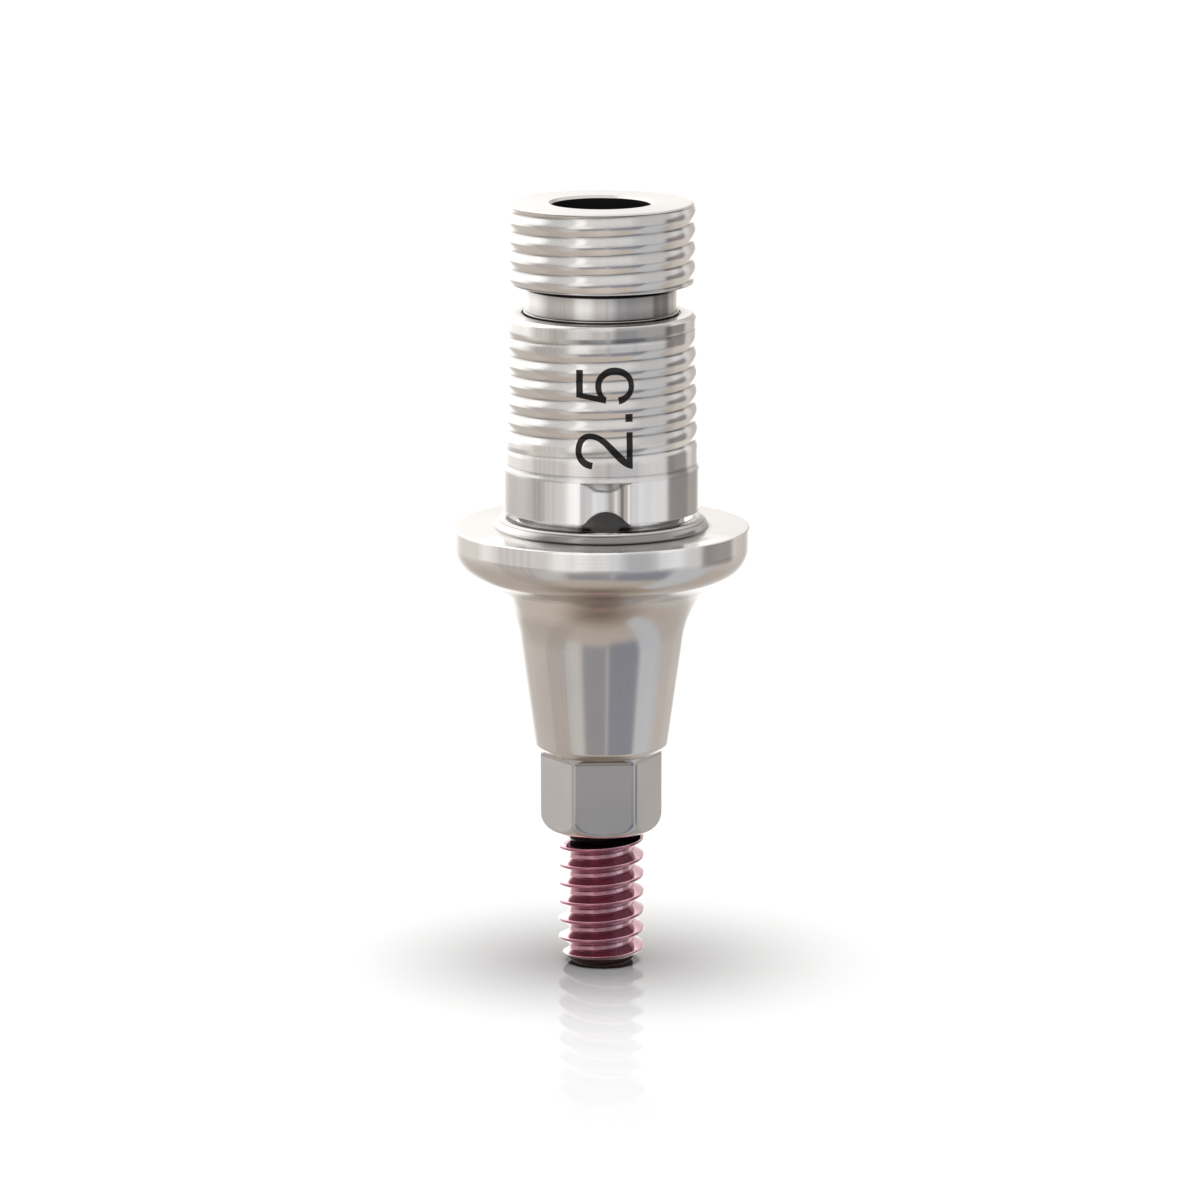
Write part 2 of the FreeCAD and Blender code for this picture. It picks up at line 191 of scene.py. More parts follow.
SCREW_DEGREES = 2.2

# The size number, in hundredths of its height: points and, in brackets of their own, curves with two controls
# and an end
TWO = [
    (13, 71), (1, 73),
    ((3, 91), (16, 101.5), (33, 101.5)),
    ((52, 101.5), (65, 90), (65, 76)),
    ((65, 53), (41, 34), (18, 11)),
    (66, 11), (66, 0), (0.5, 0),
    ((1.5, 13), (13, 25), (26, 37)),
    ((42, 50), (54, 60), (54, 76)),
    ((54, 85), (45, 91), (33, 91)),
    ((22, 91), (14, 82), (13, 71)),
]
FIVE = [
    (12.3, 100), (61.6, 100), (61.6, 88.4), (20, 88.4), (15.1, 61.3),
    ((20, 64.7), (26.2, 66.6), (32.4, 66.6)),
    ((51.6, 66.6), (66, 52.7), (66, 33.4)),
    ((66, 12.6), (52.4, -2.3), (32.4, -2.3)),
    ((14.6, -2.3), (2.3, 8.8), (0, 24.2)),
    (12.3, 26.2),
    ((13.9, 15), (21.6, 7.2), (32.4, 7.2)),
    ((44.7, 7.2), (53.2, 18), (53.2, 32.7)),
    ((53.2, 46.5), (43.9, 55.8), (31.6, 55.8)),
    ((22.3, 55.8), (16.2, 52.7), (12.3, 46.5)),
    (1.5, 48),
]
DOT = [(0, 0), (13.9, 0), (13.9, 12.9), (0, 12.9)]
# How far along the number each figure starts, and its outline
FIGURES = ((0, TWO), (84.5, DOT), (116.5, FIVE))
MARK_HEIGHT = 1.035
MARK_START_Z = 3.865
MARK_BASELINE_X = 0.49
MARK_LIFT = 0.003
MARK_SINK = 0.004
CURVE_STEPS = 14
CUT_STEP = 0.02
CUT_STEP_ROUND = 0.04
SAME_PLACE = 1e-6

# Turned metals: name, tone, worn tone, roughness, anisotropy and depth of the lines
# The channel's inside gets a near-black metal, which is painted shade, and the hexagon's faces the milled
# metal
POLISHED, MILLED, BORE_SHADE = range(3)
MILLED_END_Z = CONE_END_Z - 0.002
BORE_SHADE_START_Z = HEX_BOTTOM_Z + 0.02
BORE_SHADE_R = CHANNEL_R + 0.004
BODY_METALS = [
    ("polished_titanium", (0.66, 0.64, 0.62), (0.62, 0.61, 0.60), 0.17, 0.6, 0.0003),
    ("milled_titanium", (0.58, 0.58, 0.575), (0.54, 0.54, 0.54), 0.14, 0.0, 0.0002),
    ("bored_titanium", (0.02, 0.02, 0.02), (0.01, 0.01, 0.01), 0.5, 0.2, 0.0004),
]
# Screw metals: the pink anodised titanium, a near-black copy that is painted shade, and a brighter copy that
# is painted light on the thread's upward flanks
PINK, SHADED, LIT_FLANKS = range(3)
LIT_FLANKS_UP = 0.35
LIT_FLANKS_R = THREAD_R - 0.02
SCREW_METALS = [
    ("pink_anodised_titanium", (0.45, 0.15, 0.22), (0.39, 0.13, 0.19), 0.10, 0.3, 0.0002),
    ("shaded_anodised_titanium", (0.030, 0.007, 0.011), (0.020, 0.004, 0.007), 0.6, 0.3, 0.0002),
    ("deep_anodised_titanium", (0.93, 0.28, 0.46), (0.86, 0.24, 0.41), 0.10, 0.3, 0.0002),
]
ANODISED_COAT = {"Coat Weight": 0.6, "Coat Roughness": 0.06, "Coat IOR": 1.8}
SHADED_COVER = {"Metallic": 0.0, "Specular IOR Level": 0.1}
RING_SCALE = 30.0
PATCH_SCALE = 0.6
PATCH_RANGE = (0.35, 0.65)
ROUGHNESS_SPREAD = 0.06
NOISE_DETAIL = 3.0
AXIAL_HIGHLIGHTS = 0.25
MARK_TONES = ((0.003, 0.003, 0.003), (0.008, 0.007, 0.007))
MARK_ROUGHNESS = 0.16
MARK_SPREAD = 0.1
MARK_GRAIN_SCALE = 20
MARK_SPECULAR = 0.3

# The painted light is the share of a metal's colour that a place keeps: below one it is painted shade, above
# one a painted highlight. Hollows get some painted shade.
HOLLOW_SHADE = 0.65
HOLLOW_BEND = 30.0
PLACE_SOFT = 0.01
RADIUS_SOFT = 0.004
UP_SOFT = 0.2
ANY_WAY = (-2, 2)
ALL_ROUND = (-190, 190)

# Places: heights, radii, and for some the upward part of their normals, or how softly their heights end
WAIST_TOP_Z = BAND_BOTTOM_Z + 0.28
WAIST_FRONT = {"z": (FLANGE_TOP_Z + 0.1, WAIST_TOP_Z), "r": (0, WAIST_R + 0.02), "soft": 0.03}
WAIST_SIDES = {"z": (FLANGE_TOP_Z + 0.1, WAIST_TOP_Z), "r": (0, WAIST_R + 0.12)}
BEAD_TOP_Z = FLANGE_TOP_Z + BEAD_RADIUS
BEAD_TOP = {"z": (BEAD_TOP_Z - 0.045, BEAD_TOP_Z + 0.01), "r": (WAIST_R + 0.14, BEAD_OUTER_R), "soft": 0.02}
BEAD_WALL = {"z": (FLANGE_TOP_Z + 0.02, BEAD_TOP_Z - 0.055), "r": (WAIST_R + 0.05, BEAD_OUTER_R + 0.02),
             "soft": 0.03}
BEAD_CORNER = {"z": (FLANGE_TOP_Z - 0.01, FLANGE_TOP_Z + 0.024),
               "r": (BEAD_OUTER_R - 0.02, BEAD_OUTER_R + 0.035)}
FLANGE_TOP = {"z": (FLANGE_TOP_Z - 0.01, FLANGE_TOP_Z + 0.01), "r": (BEAD_OUTER_R + 0.02, FLANGE_R - 0.02)}
FLANGE_TOP_INNER = {**FLANGE_TOP, "r": (BEAD_OUTER_R + 0.07, BEAD_OUTER_R + 0.45)}
FLANGE_UNDERSIDE = {"z": (FLANGE_TOP_Z - 1.1, FLANGE_TOP_Z - 0.5), "r": (1.5, 2.45), "up": (-0.95, -0.5)}
RIM = {"z": (FLANGE_TOP_Z - RIM_SHINE, FLANGE_TOP_Z + 0.01), "r": (FLANGE_R - 0.02, FLANGE_R + 0.01),
       "soft": 0.02}
CUFF_FLARE = {"z": (0.95, 1.5), "r": (1.4, 2.2), "soft": 0.25}
BAND = {"z": (BAND_BOTTOM_Z, BAND_TOP_Z - 0.02), "r": (BAND_R - 0.02, BAND_R + 0.01)}
BAND_LEFT = {"z": (BAND_BOTTOM_Z + 0.03, BAND_TOP_Z + 0.02), "r": (BAND_R - 0.03, BAND_R + 0.01)}
BAND_RIGHT = {"z": (BAND_BOTTOM_Z - 0.02, BAND_TOP_Z + 0.02), "r": (BAND_R - 0.08, BAND_R + 0.01)}
FLUTE_FLOOR = {"z": (BAND_BOTTOM_Z, BAND_TOP_Z - 0.2), "r": (WAIST_R + 0.02, BAND_R - 0.1)}
FLUTE_EDGE = {"z": (BAND_BOTTOM_Z, BAND_TOP_Z - 0.1), "r": (WAIST_R, BAND_R)}
FLUTE_CEILING = {"z": (BAND_TOP_Z - 0.17, BAND_TOP_Z - 0.03), "r": (WAIST_R, BAND_R)}
LOWER_WALL_R = (LAND_TOP_R - GROOVE_DEPTH, LAND_BOTTOM_R + 0.01)
FIRST_CREST = {"z": (BAND_TOP_Z + 0.1, GROOVE_START_Z + 0.1), "r": LOWER_WALL_R, "soft": 0.06}
LOWER_GROOVES = {"z": (GROOVE_START_Z - 0.4, SHOULDER_Z - 0.35), "r": LOWER_WALL_R}
LOWER_UNDERSIDES = {**LOWER_GROOVES, "up": (-0.8, -0.22)}
LOWER_RIGHT = {**LOWER_GROOVES, "z": (GROOVE_START_Z + 0.1, SHOULDER_Z - 0.35), "soft": 0.06}
LAST_LAND = {"z": (SHOULDER_Z - 0.33, SHOULDER_Z - 0.04), "r": (LAND_TOP_R - 0.03, LAND_TOP_R + 0.03)}
MOAT = {"z": (SHOULDER_Z - 0.08, SHOULDER_Z + 0.024), "r": (NECK_R, NECK_R + 0.08)}
NECK = {"z": (SHOULDER_Z + 0.03, UPPER_BOTTOM_Z), "r": (CHANNEL_R + 0.1, NECK_R + 0.04)}
NECK_MIDDLE = {**NECK, "z": (SHOULDER_Z + 0.15, UPPER_BOTTOM_Z - 0.15), "soft": 0.2}
NECK_TOP = {"z": (UPPER_BOTTOM_Z - 0.095, UPPER_BOTTOM_Z + 0.01), "r": (CHANNEL_R + 0.1, NECK_R + 0.02)}
UPPER_WALL_R = (UPPER_R - GROOVE_DEPTH, UPPER_R + 0.01)
UPPER_GROOVES = {"z": (UPPER_BOTTOM_Z + 0.05, TOP_Z - 0.05), "r": UPPER_WALL_R}
UPPER_UNDERSIDES = {**UPPER_GROOVES, "up": (-0.8, -0.22)}
UPPER_RIGHT = {"z": (UPPER_BOTTOM_Z + 0.03, TOP_Z - 0.03), "r": UPPER_WALL_R, "soft": 0.02}
TOP_FACE = {"z": (TOP_Z - 0.02, TOP_Z + 0.01), "r": (CHANNEL_R + MOUTH_CHAMFER - 0.01, UPPER_R - UPPER_EDGE)}
HEXAGON = {"z": (HEX_BOTTOM_Z, CONE_END_Z), "r": (HEX_FLAT_R - 0.01, HEX_CORNER_R + 0.01)}

# Zones of painted light and shade: the place, its first and last degree to the right of the flute, how softly
# those end, and the share, below one for painted shade and above one for a painted highlight
BODY_LIGHT_ZONES = [
    (WAIST_FRONT, (-18, 18), 4, 0.12),
    (WAIST_SIDES, (-180, -26), 8, 2.7),
    (WAIST_SIDES, (26, 180), 8, 2.7),
    (BEAD_TOP, (-6, 6), 6, 1.35),
    (BEAD_TOP, (-44, -12), 6, 0.7),
    (BEAD_TOP, (12, 44), 6, 0.7),
    (BEAD_TOP, (-110, -46), 16, 0.8),
    (BEAD_TOP, (46, 110), 16, 0.72),
    (FLANGE_UNDERSIDE, (-75, -24), 10, 0.76),
    (FLANGE_UNDERSIDE, (24, 75), 10, 0.76),
    (BEAD_WALL, (-44, 44), 20, 0.40),
    (BEAD_WALL, (44, 110), 20, 0.65),
    (BEAD_CORNER, (-52, 62), 24, 0.03),
    (FLANGE_TOP, ALL_ROUND, 1, 0.9),
    (TOP_FACE, ALL_ROUND, 1, 0.88),
    (FLANGE_TOP, (-50, 50), 30, 2.1),
    (FLANGE_TOP_INNER, (35, 55), 8, 0.5),
    (NECK, ALL_ROUND, 1, 0.7),
    (NECK_MIDDLE, ALL_ROUND, 1, 1.6),
    (NECK, (7, 48), 6, 0.57),
    (NECK, (49, 68), 4, 0.6),
    (NECK_TOP, ALL_ROUND, 1, 0.02),
    (MOAT, ALL_ROUND, 1, 0.02),
    (LAST_LAND, (5, 44), 4, 0.54),
    (LAST_LAND, (-24, -8), 8, 0.8),
    (BAND_LEFT, (-100, -56), 16, 0.75),
    (FLUTE_FLOOR, (-8, 0.5), 3, 1.95),
    (FLUTE_FLOOR, (2.5, 5.5), 2, 0.6),
    (FLUTE_EDGE, (9.3, 10.7), 1, 0.35),
    (FLUTE_CEILING, (-7, 7), 4, 1.35),
    (BAND, (-38, -13), 5, 1.65),
    (BAND, (13, 23), 5, 1.7),
    (BAND, (24, 40), 5, 1.3),
    (BAND_RIGHT, (58, 72), 5, 0.6),
    (CUFF_FLARE, (-80, -18), 10, 1.35),
    (RIM, (-56, -26), 6, 1.7),
    (RIM, (-25, -12), 6, 1.3),
    (RIM, (-11, 5), 6, 1.9),
    (RIM, (18, 30), 6, 1.5),
    (RIM, (46, 60), 6, 1.35),
    (LOWER_UNDERSIDES, ALL_ROUND, 1, 1.35),
    (LOWER_GROOVES, (46, 65), 5, 1.35),
    (UPPER_UNDERSIDES, ALL_ROUND, 1, 1.35),
    (UPPER_UNDERSIDES, (-9, 6), 8, 1.25),
    (UPPER_GROOVES, (46, 65), 5, 1.35),
    (LOWER_RIGHT, (18, 66), 8, 0.8),
    (UPPER_RIGHT, (18, 66), 8, 0.8),
    (FIRST_CREST, (-52, -26), 7, 1.55),
    (LAST_LAND, (-56, -36), 7, 1.6),
    (NECK, (18, 40), 7, 0.74),
    (HEXAGON, (-30, 30), 1, 0.84),
    (HEXAGON, (30, 90), 1, 0.84),
]

# The screw's valley under the hexagon and the chamfer at its tip lie in deep shade
SHADED_TOP_Z = HEX_BOTTOM_Z - 0.14
SHADED_END_Z = HEX_BOTTOM_Z + 0.3
SHADED_TIP_Z = SCREW_TIP_Z + 0.17
SHADED_R = THREAD_R - 0.07
UNDER_HEXAGON = {"z": (HEX_BOTTOM_Z - 0.25, SHADED_END_Z), "r": (0, SHADED_R + 0.01), "soft": 0.06}
THREAD = {"z": (SHADED_TIP_Z, SHADED_END_Z), "r": (THREAD_ROOT_R - 0.02, THREAD_R + 0.01)}
THREAD_UNDERSIDES = {**THREAD, "up": (-1.2, -0.4)}
THREAD_TOPS = {**THREAD, "up": (0.4, 1.2)}
THREAD_ROOTS = {**THREAD, "up": (-0.25, 0.25), "r": (THREAD_ROOT_R - 0.02, THREAD_ROOT_R + 0.05)}
THREAD_CRESTS = {**THREAD, "up": (-0.25, 0.25), "r": (THREAD_R - 0.02, THREAD_R + 0.01)}
FREE_THREAD = {**THREAD, "z": (SHADED_TIP_Z, HEX_BOTTOM_Z), "soft": 0.02}
FREE_FLANKS = {**FREE_THREAD, "r": (THREAD_ROOT_R + 0.02, THREAD_R + 0.01)}
# Painted light on the screw: painted shade under the hexagon, on the thread's undersides and a little on its
# crests, and painted highlights on its tops, roots and free sides
SCREW_LIGHT_ZONES = [
    (UNDER_HEXAGON, ALL_ROUND, 1, 0.22),
    (THREAD_UNDERSIDES, ALL_ROUND, 1, 0.2),
    (THREAD_TOPS, ALL_ROUND, 1, 1.08),
    (THREAD_ROOTS, ALL_ROUND, 1, 1.12),
    (THREAD_CRESTS, ALL_ROUND, 1, 0.85),
    (FREE_FLANKS, (-130, -56), 16, 1.28),
    (FREE_THREAD, (50, 120), 10, 1.32),
    (FREE_THREAD, (16, 46), 8, 1.18),
]

# Floor under the screw's tip, half its width in metres. Its gloss fades away from the object.
FLOOR_HALF = 2.0
FLOOR_TONE = (0.8, 0.8, 0.8, 1)
FLOOR_GLOSS = 0.155
FLOOR_GLOSS_NEAR = 1.5
FLOOR_GLOSS_FAR = 17.0
FLOOR_GLOSS_ROUGHNESS = 0.005

# Camera at the photograph's view. It sees from 5 mm to 20 m away, which is in metres here.
CAMERA_DISTANCE = 120.34
CAMERA_HEIGHT = 25.02
CAMERA_TILT = 11.25
CAMERA_TURN = -3.0
CAMERA_CLIP = (0.005, 20)
FOCAL_PIXELS = 6577
AXIS_OFFSET_PIXELS = 1.15
SENSOR_WIDTH = 36.0

# Room tone from straight down to straight up: elevation in degrees, then colour
ROOM = [
    (-90, (0.22, 0.16, 0.12)),
    (-76, (0.42, 0.34, 0.28)),
    (-60, (0.64, 0.56, 0.49)),
    (-30, (0.66, 0.60, 0.54)),
    (-10, (0.84, 0.79, 0.75)),
    (15, (0.95, 0.95, 0.95)),
    (45, (1.0, 0.99, 0.98)),
    (90, (1.1, 1.1, 1.1)),
]
# Soft boxes and flags round the object, in degrees. STUDIO_FRONT is the side of the photograph's view. A row
# gives the middle to the right of it, the half width, its soft edge, the lowest and highest elevation, their
# soft edge, and the colour.
STUDIO_FRONT = CAMERA_TURN + FRONT
BOXES = [
    (-67, 26, 16, -16, 14, 5, (0.71, 0.67, 0.64)),
    (8, 36, 8, -38, -12.8, 2, (0.38, 0.38, 0.40)),
    (38, 24, 7, -42, -12.8, 2, (0.33, 0.34, 0.39)),
    (-44, 12, 9, -42, -14, 4, (0.74, 0.72, 0.70)),
    (30, 18, 9, -12, 12, 3, (0.80, 0.80, 0.82)),
    (-26, 13, 14, -12, 20, 3, (1.3, 1.29, 1.28)),
    (9, 2, 2, -34, 10, 4, (0.60, 0.60, 0.62)),
    (78, 20, 8, -70, -13, 6, (0.72, 0.73, 0.76)),
    (66, 20, 5, -12, 30, 4, (0.98, 0.98, 0.99)),
    (104, 19, 8, -16, 16, 8, (0.36, 0.33, 0.33)),
    (165, 24, 14, -60, 35, 16, (0.70, 0.66, 0.62)),
    (-100, 22, 14, 12, 75, 10, (1.7, 1.7, 1.69)),
    (-30, 7, 5, 20, 80, 10, (1.5, 1.5, 1.5)),
    (-174, 25, 24, -36, -6, 8, (1.5, 1.47, 1.44)),
    (-142, 40, 30, -9, 60, 4, (1.7, 1.68, 1.66)),
]
# Fine dark upright lines at the left, one of them at LINE_AT, and faint streaks all round
LINE_PITCH = 6.6
LINE_AT = -58
LINE_SHARPNESS = 3
LINES_MIDDLE = -71
LINES_HALF = 18
LINES_EDGE = 4
LINES_STRENGTH = 0.35
STREAK_SCALE = 0.25
STREAK_STRENGTH = 0.18

# Overhead light for the floor's soft shadow, as wide as LAMP_WIDTH degrees of the sky
LAMP_WIDTH = 44
LAMP_ENERGY = 4.02


def mix(a, b, share):
    return a + (b - a) * share


def arc(centre, radius, first, last, steps):
    """Points of a profile arc; angles in degrees, from the radius direction towards up."""
    points = []
    for step in range(steps + 1):
        turn = math.radians(mix(first, last, step / steps))
        points.append((centre[0] + radius * math.cos(turn), centre[1] + radius * math.sin(turn)))
    return points


def straight(start, end, step=ROW_STEP):
    """Points from start to just before end, evenly spaced."""
    count = max(1, round(math.dist(start, end) / step))
    return [(mix(start[0], end[0], i / count), mix(start[1], end[1], i / count)) for i in range(count)]


def rounded(corners, steps=EDGE_STEPS):
    """Profile through (radius, z, round) corners, with a small curve at each corner that has a round."""
    points = []
    for index, (r, z, size) in enumerate(corners):
        if not size:
            points.append((r, z))
            continue
        ends = []
        for neighbour in (corners[index - 1], corners[index + 1]):
            distance = math.dist((r, z), neighbour[:2])
            share = min(size / distance, LONGEST_EDGE_SHARE)
            ends.append((mix(r, neighbour[0], share), mix(z, neighbour[1], share)))
        (r_in, z_in), (r_out, z_out) = ends
        for step in range(steps + 1):
            t = step / steps
            near, middle, far = (1 - t) ** 2, 2 * t * (1 - t), t * t
            points.append((near * r_in + middle * r + far * r_out, near * z_in + middle * z + far * z_out))
    return points


def soft_min(a, b, width):
    """The smaller of two lengths, with the crossing rounded over about the given width."""
    share = max(width - abs(a - b), 0) / width
    return min(a, b) - share * share * width / 4


def soft_max(a, b, width):
    """The larger of two lengths, rounded over in the same way."""
    return -soft_min(-a, -b, width)


def degrees_from(angle, centre):
    """Angle in degrees, counted from another one, between -180 and 180."""
    return (math.degrees(angle) - centre + 180) % 360 - 180


def flat_share(angle, sides):
    """How much further out than the middle of its flat a regular prism's side lies at an angle."""
    step = 360 / sides
    from_middle = (degrees_from(angle, FRONT) + step / 2) % step - step / 2
    return 1 / math.cos(math.radians(from_middle))


def hexagon_rows(angle):
    """End round, flats with the milling tool's corner radius at their tops, and turned corners."""
    low = HEX_BOTTOM_Z + HEX_END_ROUND
    fillet_z = CONE_END_Z - HEX_FLAT_FILLET
    inner = math.degrees(math.acos((THROUGH_R - HEX_CORNER_R + HEX_END_ROUND) / HEX_END_ROUND))
    rows = arc((HEX_CORNER_R - HEX_END_ROUND, low), HEX_END_ROUND, -inner, 0, HEX_ROUND_STEPS)
    rows += [(HEX_CORNER_R, mix(low, fillet_z, share)) for share in HEX_WALL_SHARES]
    for step in range(HEX_FILLET_STEPS + 1):
        rows.append((HEX_CORNER_R, mix(fillet_z, CONE_END_Z - HEX_FILLET_GAP, step / HEX_FILLET_STEPS)))
    share = flat_share(angle, HEX_SIDES)
    milled = []
    for r, z in rows:
        up = max(z - fillet_z, 0)
        side = HEX_FLAT_R + HEX_FLAT_FILLET - math.sqrt(HEX_FLAT_FILLET ** 2 - up ** 2)
        milled.append((soft_min(r, side * share, HEX_CORNER_SOFT), z))
    return milled


def cuff_rows():
    """End chamfer, cone, concave flare, convex lip, rim and the flange's top."""
    lip_centre = (FLANGE_R - LIP_RADIUS, FLANGE_TOP_Z - RIM_HEIGHT)
    slope = math.atan(CONE_SLOPE)
    outward = (math.cos(slope), -math.sin(slope))
    along = (math.sin(slope), math.cos(slope))
    # The flare's circle touches the cone's line and the lip's circle.
    gap = (PLATFORM_R + outward[0] * FLARE_RADIUS - lip_centre[0], outward[1] * FLARE_RADIUS - lip_centre[1])
    half_b = gap[0] * along[0] + gap[1] * along[1]
    c = gap[0] ** 2 + gap[1] ** 2 - (FLARE_RADIUS + LIP_RADIUS) ** 2
    travel = -half_b - math.sqrt(half_b ** 2 - c)
    to_centre = (gap[0] + along[0] * travel, gap[1] + along[1] * travel)
    flare_centre = (lip_centre[0] + to_centre[0], lip_centre[1] + to_centre[1])
    meeting = math.degrees(math.atan2(to_centre[1], to_centre[0]))
    flare_start = 180 - math.degrees(slope)
    cone_bottom_r = PLATFORM_R + CONE_BOTTOM_Z * CONE_SLOPE
    cone_end = arc(flare_centre, FLARE_RADIUS, flare_start, flare_start, 1)[0]
    rows = rounded([
        (HEX_CORNER_R, CONE_END_Z, 0),
        (cone_bottom_r, CONE_BOTTOM_Z, CONE_EDGE),
        (*cone_end, 0),
    ])[:-1]
    rows += straight(rows.pop(), cone_end, CONE_STEP)
    rows += arc(flare_centre, FLARE_RADIUS, flare_start, 180 + meeting, FLARE_STEPS)
    rows += arc(lip_centre, LIP_RADIUS, meeting, 0, LIP_STEPS)[1:]
    line_z = FLANGE_TOP_Z - RIM_SHINE
    rows += rounded([
        (FLANGE_R, lip_centre[1], 0),
        (FLANGE_R, line_z - RIM_LINE_HALF, 0),
        (FLANGE_R, line_z + RIM_LINE_HALF, 0),
        (FLANGE_R, FLANGE_TOP_Z - 0.06, 0),
        (FLANGE_R, FLANGE_TOP_Z, FLANGE_EDGE),
        *((BEAD_OUTER_R + out, FLANGE_TOP_Z, 0) for out in FLANGE_TOP_RINGS),
    ], WIDE_EDGE_STEPS)[1:-1]
    return rows


def bead_rows():
    """Bead on the flange, creased near its top, with the waist's foot behind it."""
    centre_r = BEAD_OUTER_R - BEAD_RADIUS
    top = FLANGE_TOP_Z + BEAD_RADIUS
    foot_z = top - BEAD_INNER_DROP
    rows = [(BEAD_OUTER_R + out, FLANGE_TOP_Z + up) for out, up in BEAD_FOOT]
    for degrees in BEAD_DEGREES:
        turn = math.radians(degrees)
        from_crease = (degrees - BEAD_CREASE_DEGREES) / BEAD_CREASE_WIDTH
        out = BEAD_RADIUS - BEAD_CREASE * math.exp(-from_crease ** 2)
        rows.append((centre_r + out * math.cos(turn), FLANGE_TOP_Z + out * math.sin(turn)))
    return rows + rounded([
        (centre_r, top, 0),
        (centre_r - 0.06, top, 0.05),
        (WAIST_R, foot_z, 0.04),
        *((WAIST_R, foot_z + up, 0) for up in WAIST_RINGS),
        (WAIST_R, BAND_BOTTOM_Z, 0),
    ])[1:-1]


def flute_r(angle):
    """Radius of the band's wall at an angle: a concave floor between two rounded shoulders."""
    floor_centre = BAND_R - FLUTE_DEPTH + FLUTE_FLOOR_RADIUS
    shoulder_centre = BAND_R - FLUTE_SHOULDER_RADIUS
    between = FLUTE_FLOOR_RADIUS + FLUTE_SHOULDER_RADIUS
    cosine = (shoulder_centre ** 2 + floor_centre ** 2 - between ** 2) / (2 * shoulder_centre * floor_centre)
    shoulder_angle = math.acos(cosine)
    share = FLUTE_SHOULDER_RADIUS / between
    meeting_x = mix(shoulder_centre * math.sin(shoulder_angle), 0, share)
    meeting_y = mix(shoulder_centre * math.cos(shoulder_angle), floor_centre, share)
    meeting_angle = math.atan2(meeting_x, meeting_y)
    off = abs(math.radians(degrees_from(angle, FRONT)))
    if off >= shoulder_angle:
        return BAND_R
    if off >= meeting_angle:
        past = shoulder_angle - off
        across = shoulder_centre * math.sin(past)
        return shoulder_centre * math.cos(past) + math.sqrt(FLUTE_SHOULDER_RADIUS ** 2 - across ** 2)
    across = floor_centre * math.sin(off)
    return floor_centre * math.cos(off) - math.sqrt(FLUTE_FLOOR_RADIUS ** 2 - across ** 2)


def band_rows(angle):
    """Undercut, band with its flute, the flute's slanted ceiling and the step to the chimney."""
    wall_r = flute_r(angle)
    edge_z = BAND_BOTTOM_Z + (BAND_R - wall_r) * UNDERCUT_RISE
    under_z = BAND_BOTTOM_Z + (BAND_R - WAIST_R) * UNDERCUT_RISE
    ceiling_z = BAND_TOP_Z - (FLUTE_DEPTH + CEILING_SOFT) * CEILING_RISE
    rows = rounded([
        (WAIST_R, BAND_BOTTOM_Z - 0.01, 0),
        (WAIST_R, under_z, 0.03),
        (wall_r, edge_z, FINE_EDGE),
        (wall_r, edge_z + 0.05, 0),
        (wall_r, ceiling_z - 0.05, 0),
        (wall_r, ceiling_z - 0.02, 0),
        (wall_r, ceiling_z, 0),
    ])[1:-1]
    for step in range(CEILING_STEPS + 1):
        z = mix(ceiling_z, BAND_TOP_Z - FINE_EDGE, step / CEILING_STEPS)
        rows.append((soft_max(wall_r, BAND_R + (z - BAND_TOP_Z) / CEILING_RISE, CEILING_SOFT), z))
    return rows + rounded([
        (BAND_R, BAND_TOP_Z - 0.1, 0),
        (BAND_R, BAND_TOP_Z, FINE_EDGE),
        (LAND_BOTTOM_R, LAND_BOTTOM_Z, FINE_EDGE),
        (LAND_BOTTOM_R, LAND_BOTTOM_Z + 0.1, 0),
    ])[2:-1]


def land_r(z):
    """Radius of the tapered lower chimney at a height, beside its groove."""
    share = (z - LAND_BOTTOM_Z) / (SHOULDER_Z - LAND_BOTTOM_Z)
    return mix(LAND_BOTTOM_R, LAND_TOP_R, share)


def groove_depth(z, angle, start_z, half_width, last_turn=None):
    """Depth of a right-hand groove at a place, which fades in and out when it has a last turn."""
    share = degrees_from(angle, 0) / 360
    turn = round((z - start_z) / GROOVE_PITCH - share) + share
    depth = GROOVE_DEPTH
    if last_turn is not None:
        if turn < 0:
            depth *= 1 + turn * GROOVE_FADE / GROOVE_RUN_IN_TURNS
        elif turn > last_turn:
            depth *= 1 - (turn - last_turn) * GROOVE_FADE
    away = abs(z - start_z - turn * GROOVE_PITCH)
    # The flanks fall towards a rounded floor and run out over rounded crests.
    slope = GROOVE_DEPTH / half_width
    fall = depth - slope * (math.hypot(away, GROOVE_FLOOR_SOFT) - GROOVE_FLOOR_SOFT)
    return soft_max(fall, 0, GROOVE_CREST_SOFT)


def lower_wall_r(z, angle):
    """Radius of the lower chimney at a place, in its groove too."""
    return land_r(z) - groove_depth(z, angle, GROOVE_START_Z, GROOVE_HALF_WIDTH, GROOVE_TURNS)


def lower_rows(angle):
    """Lower chimney with its groove."""
    top = SHOULDER_Z - SHOULDER_EDGE
    places = straight((LAND_BOTTOM_R, LAND_BOTTOM_Z + FINE_EDGE), (land_r(top), top - FINE_EDGE))
    return [(lower_wall_r(z, angle), z) for _, z in places]


